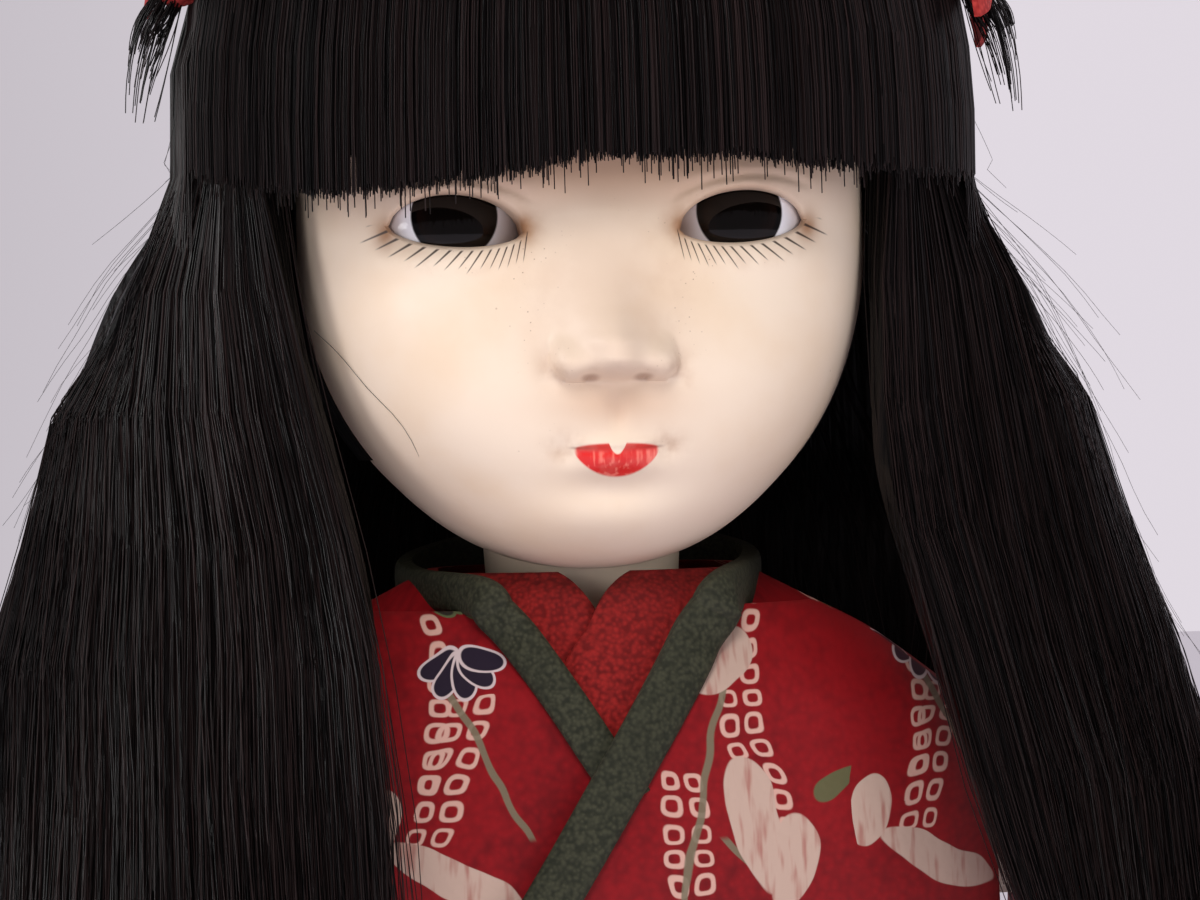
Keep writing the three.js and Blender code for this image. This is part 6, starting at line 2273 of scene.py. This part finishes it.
def blob(mould: Mould, name: str, finish: Finish, voxel: float, smooth: int) -> bpy.types.Object:
    """Melts overlapping bodies into one smooth skin.

    Args:
        mould: The bodies.
        name: Name of the piece.
        finish: Its finish.
        voxel: Fineness of the melt in millimetres.
        smooth: Rounds of smoothing.

    Returns:
        The piece.
    """
    obj = mould.piece(name, finish, 180)
    melt = obj.modifiers.new("melt", "REMESH")
    melt.mode = "VOXEL"
    melt.voxel_size = voxel * MM
    even = obj.modifiers.new("even", "SMOOTH")
    even.factor, even.iterations = 0.5, smooth
    settle(obj)
    obj.data.shade_smooth()
    obj.data.materials.clear()
    obj.data.materials.append(finish.material())
    return obj


@dataclass
class Arms:
    """Stuffed upper arms, gofun forearms with hands, and the long sleeves with their lining."""

    robe: Robe
    plane: float = 50.0
    out: float = 9.0
    elbow_drop: float = 36.0
    reach: float = 27.0
    drop: float = 26.0
    upper: float = 5.8
    forearm: float = 5.0
    wrist: float = 3.9
    hand: float = 25.0
    sleeve_drop: float = 186.0
    half_depth: float = 32.0
    flare: float = 20.0
    cuff: float = 6.8
    pin: float = 5.5
    opening: float = 0.62  # share of the forearm where the sleeve opens
    sleeve_cut: float = 130.0  # width of the flat cut
    sleeve_girth: float = 118.0

    def sleeve(self, side: Side, shrink: float) -> Array:
        """Rings of the sleeve bag.

        Args:
            side: Which sleeve.
            shrink: How far inside the cloth's outer face.

        Returns:
            Points, ring by ring from the shoulder down.
        """
        rows = np.array([[-0.06, 3.5, 0.18, 0], [-0.03, 8, 0.34, 0], [0.02, 10, 0.47, 0], [0.16, 10.5, 0.7, 0.4],
                         [0.35, 10, 0.91, 0.9], [0.55, 9, 1, 1.8], [0.75, 7.8, 0.99, 2.6], [0.9, 6.6, 0.96, 3.6],
                         [0.97, 4.8, 0.84, 5.2], [1, 2.5, 0.66, 7]])
        drop = np.concatenate([np.linspace(-0.06, 0.02, 14), np.linspace(0.03, 0.94, 80), np.linspace(0.945, 1, 16)])
        if shrink:
            drop = np.linspace(-0.045, 0.985, 90)
        thick, deep, inset = (through(*zip(rows[:, 0], rows[:, k]))(drop)[:, None] for k in (1, 2, 3))
        drop = drop[:, None]
        turn = turns(96)[None]
        x, y = oval(turn, thick - shrink, self.half_depth * deep - shrink, self.half_depth * deep - shrink, 3)
        fall = ease(drop, 0.2, 0.8)
        sway = 0.16 * fall * thick * np.cos(3.2 * math.pi * y / self.half_depth + 0.6) * (x / thick)
        sway = sway + 0.5 * ease(drop, 0.1, 0.4) * np.sin(0.21 * y + 9 * drop) * np.sign(x) * ease(np.abs(x), 0, 3)
        flare = self.flare / 2 * ease(drop, 0.08, 0.6) * (y / (self.half_depth * deep) + 1)
        px = side.value * (self.plane + 0.6 + inset + thick + x * 0.94 + sway + flare)
        return self.robe.place(stack(px, y, self.robe.shoulder - drop * self.sleeve_drop))

    def axle(self, side: Side, *reach: float) -> Array:
        """Points along the shoulder's axis."""
        return self.robe.place(np.array([[side.value * x, 0, self.robe.shoulder] for x in reach]))

    def limb(self, side: Side) -> tuple[Array, Array, Array]:
        """Shoulder, elbow and wrist of an arm.

        Args:
            side: Which arm.

        Returns:
            The three places.
        """
        x = side.value * (self.plane + self.out)
        top = self.robe.shoulder
        elbow = np.array([x, 0, top - self.elbow_drop])
        return np.array([x, 0, top + 2.5]), elbow, np.array([x, -self.reach, elbow[2] - self.drop])

    def fingers(self, mould: Mould, wrist: Array, side: Side) -> None:
        """A child's plump hand, fingers together and palm towards the body.

        Args:
            mould: The mould to add to.
            wrist: The wrist.
            side: Which hand.
        """
        along, across = np.array([0, -0.66, -0.75]), np.array([0, -0.75, 0.66])

        def at(far: float, wide: float, inward: float) -> Array:
            """A place on the hand."""
            return wrist + along * far * self.hand + across * wide + np.array([-side.value * inward, 0, 0])

        t = np.linspace(0, 1, 14)
        inward = (side.value, 0, 0)
        palm = spline([at(-0.08, 0, 0), at(0.25, 0, 0.3), at(0.58, 0, 0.8)], 14)
        mould.tube(self.robe.place(palm), (2.6 + 0.5 * np.sin(math.pi * t)) * 1.75, 20, 1 / 1.75, inward)
        for wide, length in ((-3.6, 0.9), (-1.25, 1.0), (1.25, 0.99), (3.6, 0.93)):
            finger = spline([at(0.5, wide, 0.6), at(0.75, wide * 1.02, 1), at(length - 0.03, wide * 0.92, 2.2)], 14)
            mould.tube(self.robe.place(finger), 1.5 - 0.5 * t * t, 12, 1, inward)
        thumb = spline([at(0.12, 3.4, 0.6), at(0.38, 6.2, 1.8), at(0.6, 6.6, 3)], 14)
        mould.tube(self.robe.place(thumb), 1.8 - 0.6 * t * t, 12, 1, inward)

    def arm(self, side: Side) -> None:
        """The stuffed upper arm, and the forearm with its hand.

        Args:
            side: Which arm.
        """
        body = f"{side.label}_arm"
        top, elbow, wrist = self.limb(side)
        t = np.linspace(0, 1, 20)
        stuffed = Mould().tube(self.robe.place(spline([top, (top + elbow) / 2, elbow], 20)),
                               self.upper * (0.78 + 0.22 * rounded(2 * t - 1, 2)) - 0.2, 28, 1, (0, 1, 0))
        stuffed.tube(self.axle(side, 31.5, 45, 59), self.pin - 0.1, 28)
        arm = blob(stuffed, f"{side.label}_upper_arm_stuffing", COTTON, 0.6, 2)
        belong(arm, body, "cotton", f"{side.label}_upper_arm")
        lower = Mould().tube(self.robe.place(spline([elbow, (elbow + wrist) / 2, wrist], 20)),
                             mix(self.forearm, self.wrist, t), 28, 1, (1, 0, 0))
        self.fingers(lower, wrist, side)
        belong(blob(lower, f"{side.label}_hand", SKIN, 0.32, 4), body, "gofun", f"{side.label}_forearm")

    def clothe(self, side: Side) -> None:
        """The lining at the cuff and the long sleeve.

        Args:
            side: Which arm.
        """
        body = f"{side.label}_arm"
        _, elbow, wrist = self.limb(side)
        way = unit(wrist - elbow)
        start = mix(elbow, wrist, self.opening)
        end = mix(wrist, start, 0.15)

        def pipe(line: Array, radius: float, sides: int) -> Mould:
            """A round body along the forearm."""
            return Mould().tube(self.robe.place(line), radius, sides, 1, (1, 0, 0))

        cuff = mix(start[None], end[None], np.linspace(0, 1, 8)[:, None])
        lining = pipe(cuff, self.cuff - 0.1, 40).piece(f"{side.label}_cuff_lining", LINING_SILK, 50)
        bore = np.array([elbow - way * 5, mix(elbow, wrist, 0.5), wrist + way * 20])
        carve(lining, pipe(bore, self.forearm + 0.1, 32).piece("tool", SKIN))
        belong(lining, body, "lining_silk", f"{side.label}_sleeve_lining")

        rings = self.sleeve(side, 0.0)
        flat = stack(np.linspace(0, 1, 97)[None] * self.sleeve_girth, rings[:, :1, 2] - CHIN, 0.0)[..., :2]
        bag = Mould().loft(rings, flat).piece(f"{side.label}_sleeve_cloth", PRINT, 70)
        carve(bag, Mould().loft(self.sleeve(side, 1.0)).piece("tool", PRINT))
        mouth = np.array([start - way * 0.3, mix(start, wrist, 0.5), wrist + way * 40])
        carve(bag, pipe(mouth, self.cuff + GAP, 40).piece("tool", PRINT))
        carve(bag, Mould().tube(self.axle(side, 40, 55, 60), self.pin + GAP, 32).piece("tool", PRINT))
        cut_cloth(bag, Held.HUNG, f"{side.label}_upper_arm_stuffing", width=self.sleeve_cut)
        belong(bag, body, "kimono_silk", f"{side.label}_sleeve")

    def build(self) -> None:
        """Makes both arms."""
        for side in Side:
            self.arm(side)
            self.clothe(side)


@dataclass
class Legs:
    """Thighs, lower legs, split-toe socks and sandals."""

    spacing: float = 36.0
    y: float = -4.0
    ankle: float = 6.5
    calf: float = 9.5
    thigh: float = 11.5
    knee: float = 98.0
    hip: float = 158.0
    sole: float = 8.0
    foot_length: float = 46.0
    foot_width: float = 17.0
    foot_height: float = 12.0
    cuff_rise: float = 15.0
    margin: float = 2.0
    thong: float = 1.7

    def __post_init__(self) -> None:
        """Prepares the foot's ends and heights."""
        self.sole_top = self.sole + GAP
        self.heel = self.y + 10
        self.toe = self.heel - self.foot_length
        self.ankle_z = self.sole_top + self.foot_height + self.cuff_rise
        self.shin = self.sole_top + self.foot_height / 2

    def axis(self, side: Side) -> float:
        """Place of a leg across the doll."""
        return side.value * self.spacing / 2

    def along(self, share: Numbers) -> Numbers:
        """A place from the heel to the toes."""
        return mix(self.heel, self.toe, share)

    def column(self, x: float, z: Array, radius: Array) -> Mould:
        """A round upright body.

        Args:
            x: Place of its axis.
            z: Heights above the stand.
            radius: Radius at each height.

        Returns:
            The mould.
        """
        turn = turns(40)[None]
        rings = stack(x + radius[:, None] * np.sin(turn), self.y + radius[:, None] * np.cos(turn),
                      z[:, None] + FIGURE_BASE)
        return Mould().loft(rings)

    def leg(self, side: Side) -> None:
        """The stuffed thigh and the lower leg.

        Args:
            side: Which leg.
        """
        x = self.axis(side)
        z = np.linspace(self.knee, self.hip - GAP, 40)
        stuffed = through((self.knee, self.calf), (mix(self.knee, self.hip, 0.55), self.thigh),
                          (self.hip, self.thigh * 0.86))(z)
        thigh = self.column(x, z, stuffed - 0.2 + 0.25 * np.sin(z * 0.9)).piece(
            f"{side.label}_thigh_stuffing", COTTON)
        belong(thigh, "figure", "cotton", f"{side.label}_thigh")
        z = np.linspace(self.shin, self.knee - GAP, 50)
        bare = through((self.shin, self.ankle), (self.ankle_z, self.ankle),
                       (mix(self.ankle_z, self.knee, 0.6), self.calf), (self.knee, self.calf * 0.92))(z)
        belong(self.column(x, z, bare).piece(f"{side.label}_shin", SKIN), "figure", "gofun", f"{side.label}_leg")

    def sock(self, side: Side) -> None:
        """The split-toe sock.

        Args:
            side: Which foot.
        """
        x, low, high = self.axis(side), self.shin, self.ankle_z
        ground = FIGURE_BASE + self.sole_top
        t = np.linspace(0, 1, 50)
        wide = through((0, 0.3), (0.08, 0.6), (0.3, 0.86), (0.72, 1), (0.93, 0.75), (1, 0.3))(t)
        tall = through((0, 0.5), (0.1, 1), (0.35, 1.05), (0.72, 0.72), (0.95, 0.5), (1, 0.3))(t)
        wide, tall = wide * self.foot_width / 2, tall * self.foot_height
        turn = turns(40)[None]
        rise = np.where(np.sin(turn) > 0, 0.72, 0.28) * np.sin(turn)
        foot = Mould().loft(stack(x + wide[:, None] * np.cos(turn), self.along(t)[:, None],
                                  ground + tall[:, None] * (0.28 + rise)))
        level = np.linspace(low, high, 12)
        loose = self.ankle + 1.1 + np.interp(level, [low, mix(low, high, 0.6), high], [1.2, 0.4, 0.6])
        cuff = self.column(x, level, loose)
        foot.keep(np.concatenate(cuff.points), cuff.faces, cuff.flats)
        sock = blob(foot, f"{side.label}_tabi_cloth", COTTON, 0.5, 3)
        split = stack(x - side.value * self.foot_width * 0.2,
                      np.array([self.toe - 3, self.along(0.9), self.along(0.76)]), ground + 7)
        carve(sock, Mould().tube(split, 0.55, 16, 9.0, (0, 0, 1)).piece("tool", COTTON))
        bore = self.column(x, np.array([low - 0.3, 30, high + 1]), np.full(3, self.ankle + 0.15))
        carve(sock, bore.piece("tool", COTTON))
        sock.data.shade_smooth()
        sock.data.set_sharp_from_angle(angle=math.radians(50))
        belong(sock, "figure", "cotton", f"{side.label}_tabi")

    def sandal(self, side: Side) -> None:
        """The covered sole and its thong.

        Args:
            side: Which foot.
        """
        x, top = self.axis(side), self.sole_top
        out = self.foot_width / 2 + self.margin
        back = out * 0.9
        a = np.linspace(0, math.pi, 40)
        edge = np.concatenate([np.stack([back * np.cos(a), self.heel + self.margin - back + back * np.sin(a)], 1),
                               np.stack([-out * np.cos(a), self.toe - self.margin + out - out * np.sin(a)], 1)])
        centre = edge.mean(0)
        profile = [(0.0, 0.96), (0.5, 0.99), (1.2, 1.0), (3.0, 1.0), (3.3, 0.985), (3.6, 1.0), (6.8, 1.0),
                   (7.6, 0.985), (8.0, 0.95)]
        rings = [np.concatenate([centre + (edge - centre) * k + (x, 0), np.full((len(edge), 1), FIGURE_BASE + z)], 1)
                 for z, k in profile]
        sole = Mould().loft(np.array(rings)).piece(f"{side.label}_zori_sole", SANDAL_CLOTH, 40)
        belong(sole, "figure", "sandal", f"{side.label}_zori")
        strap = Mould()
        for way in (1, -1):
            wide, tall = way * self.foot_width, self.foot_height
            path = spline([(x, self.along(0.74), top + GAP), (x, self.along(0.74), top + tall * 0.8),
                           (x + wide * 0.36, self.along(0.56), top + tall * 0.72),
                           (x + wide * 0.5, self.along(0.36), top + self.thong + GAP)], 40)
            strap.tube(path + (0, 0, FIGURE_BASE), self.thong, 16, 1, (way, 0.3, 0))
        belong(strap.piece(f"{side.label}_thong_strap", RED_CREPE), "figure", "red_crepe", f"{side.label}_thong")

    def build(self) -> None:
        """Makes both legs."""
        for side in Side:
            self.leg(side)
            self.sock(side)
            self.sandal(side)


@dataclass
class Stand:
    """The lacquered board with its post and brass collar."""

    width: float = 176.0
    depth: float = 140.0
    thickness: float = 20.0
    corner: float = 16.0
    step: float = 5.0
    post: float = 3.5
    post_y: float = 9.0
    seat: float = 12.0
    post_top: float = 198.0
    collar: float = 8.0
    collar_height: float = 6.0

    def outline(self, inset: float) -> Array:
        """The rounded edge of the board, moved inwards.

        Args:
            inset: How far it moves.

        Returns:
            The points.
        """
        a = np.linspace(0, math.pi / 2, 14)
        w, d = self.width / 2 - self.corner, self.depth / 2 - self.corner
        r = max(self.corner - inset, 0.5)
        w, d = min(w, self.width / 2 - inset - r), min(d, self.depth / 2 - inset - r)
        parts = [np.stack([sx * w + r * np.cos(a + k * math.pi / 2), sy * d + r * np.sin(a + k * math.pi / 2)], 1)
                 for k, (sx, sy) in enumerate(((1, 1), (-1, 1), (-1, -1), (1, -1)))]
        return np.concatenate(parts)

    def turned(self, profile: Sequence[tuple[float, float]]) -> Mould:
        """A turned body on the post's axis from (radius, height) pairs.

        Args:
            profile: The pairs, from the bottom up.

        Returns:
            The mould.
        """
        turn = turns(64)[None]
        r, z = (np.array(p)[:, None] for p in zip(*profile))
        return Mould().loft(stack(r * np.sin(turn), self.post_y + r * np.cos(turn), z))

    def build(self) -> None:
        """Makes the stand."""
        h, s = self.thickness, self.step
        profile = [(0.8, 0.0), (0.25, 0.25), (0.0, 0.8), (0.0, h - s - 1.2), (0.3, h - s - 0.4), (1.2, h - s),
                   (s - 0.8, h - s), (s - 0.2, h - s + 0.2), (s, h - s + 0.8), (s, h - 1.2), (s + 0.3, h - 0.4),
                   (s + 1.2, h), (s + 8, h), (s + 30, h)]
        rings = []
        for inset, z in profile:
            edge = self.outline(inset)
            rings.append(np.concatenate([edge, np.full((len(edge), 1), z)], 1))
        board = Mould().loft(np.array(rings)).piece("stand_board_lacquer", LACQUER, 35)
        belong(board, "stand", "lacquer", "stand_board")
        low, high = h - self.seat, h + self.post_top
        post = self.turned([(self.post - 0.4, low), (self.post, low + 0.4), (self.post, high - 0.8),
                            (self.post - 0.8, high)]).piece("stand_post_wood", WOOD, 50)
        belong(post, "stand", "bare_wood", "stand_post")
        base, c = h + GAP, self.collar
        ring = self.turned([(c - 0.5, base), (c, base + 0.4), (c, base + 1.6), (c - 0.6, base + 2.2),
                            (c - 1.1, base + 2.4), (c - 1.2, base + 3.2), (self.post + 2.2, base + 5.2),
                            (self.post + 1.6, base + 5.8), (self.post + 1.0, base + self.collar_height)]).piece(
            "post_collar_brass", BRASS, 35)
        belong(ring, "stand", "brass", "post_collar")


# Studio

@dataclass
class Studio:
    """Camera, lights, floor and backdrop."""

    distance: float = 450.0
    azimuth: float = -5.6
    elevation: float = 0.0
    roll: float = -1.3
    target: tuple[float, float, float] = (2.2, 0.0, 336.9)
    focal_pixels: float = 3800.0
    frame_width: float = 1200.0
    sensor: float = 36.0
    aim: tuple[float, float, float] = (0.0, 0.0, 0.33)  # where the lamps point, in metres

    def camera(self) -> None:
        """Sets the camera at the photograph's viewing angle."""
        a, e = math.radians(self.azimuth), math.radians(self.elevation)
        back = Vector((math.sin(a) * math.cos(e), -math.cos(a) * math.cos(e), math.sin(e)))
        data = bpy.data.cameras.new("camera")
        data.sensor_width = self.sensor
        data.lens = self.sensor * self.focal_pixels / self.frame_width
        data.clip_start = 0.01
        camera = bpy.data.objects.new("camera", data)
        bpy.context.scene.collection.objects.link(camera)
        turn = (-back).to_track_quat("-Z", "Y").to_matrix().to_4x4()
        camera.matrix_world = Matrix.Translation((Vector(self.target) + back * self.distance) * MM) @ turn \
            @ Matrix.Rotation(math.radians(self.roll), 4, "Z")
        bpy.context.scene.camera = camera

    def lamp(self, name: str, place: Sequence[float], size: float, watts: float) -> bpy.types.Object:
        """A square soft light.

        Args:
            name: Its name.
            place: Where it stands, in metres.
            size: Its side in metres.
            watts: Its power.

        Returns:
            The lamp.
        """
        data = bpy.data.lights.new(name, "AREA")
        data.size, data.energy = size, watts
        lamp = bpy.data.objects.new(name, data)
        bpy.context.scene.collection.objects.link(lamp)
        lamp.location = place
        lamp.rotation_euler = (Vector(self.aim) - Vector(place)).to_track_quat("-Z", "Y").to_euler()
        return lamp

    def floor(self) -> None:
        """A plain pale floor."""
        mesh = bpy.data.meshes.new("floor")
        mesh.from_pydata([(-6, -6, 0), (6, -6, 0), (6, 6, 0), (-6, 6, 0)], [], [(0, 1, 2, 3)])
        dress(mesh, "floor", PAPER)

    def sky(self) -> None:
        """Pale surroundings, brighter behind the doll and to its left."""
        world = bpy.data.worlds.new("studio")
        world.use_nodes = True
        world.node_tree.nodes.clear()
        s = Shader(world.node_tree)
        way = s.node("ShaderNodeTexCoord", out="Generated")
        x, y = (s.node("ShaderNodeSeparateXYZ", {}, {"Vector": way}, axis) for axis in "XY")
        light = y.over(-0.5, 0.8) * (x.over(-0.2, 0.2) * 0.26 + 0.36) + 0.15
        glow = s.node("ShaderNodeBackground", {}, {"Color": tint(252, 244, 253), "Strength": light})
        s.node("ShaderNodeOutputWorld", {}, {"Surface": glow})
        bpy.context.scene.world = world

    def build(self) -> None:
        """Makes the studio."""
        self.camera()
        self.floor()
        self.sky()
        for name, place, size, watts in (("key", (-0.16, -0.97, 1.1), 0.45, 7.2),
                                         ("fill", (0.8, -1.0, 0.45), 0.8, 5.2),
                                         ("low", (-0.7, -1.2, 0.3), 0.6, 3.6)):
            self.lamp(name, place, size, watts).visible_glossy = False
        self.lamp("sheen", (-1.3, -0.25, 0.75), 0.5, 6.0)
        bpy.context.scene.view_settings.view_transform = "Standard"


def main() -> None:
    """Builds the studio and the doll, part by part."""
    logging.basicConfig(level=logging.INFO, format="%(message)s")
    Studio().build()
    head = Head()
    head.build()
    Wig(head).build()
    robe = Robe()
    robe.build()
    Sash(robe).build()
    Arms(robe).build()
    Legs().build()
    Stand().build()
    for node, finish in (("torso_core", COMPOSITION), ("neck_peg", WOOD)):
        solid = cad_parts[node]
        solid.data.materials.clear()
        solid.data.materials.append(finish.material())


if __name__ == "__main__":
    main()
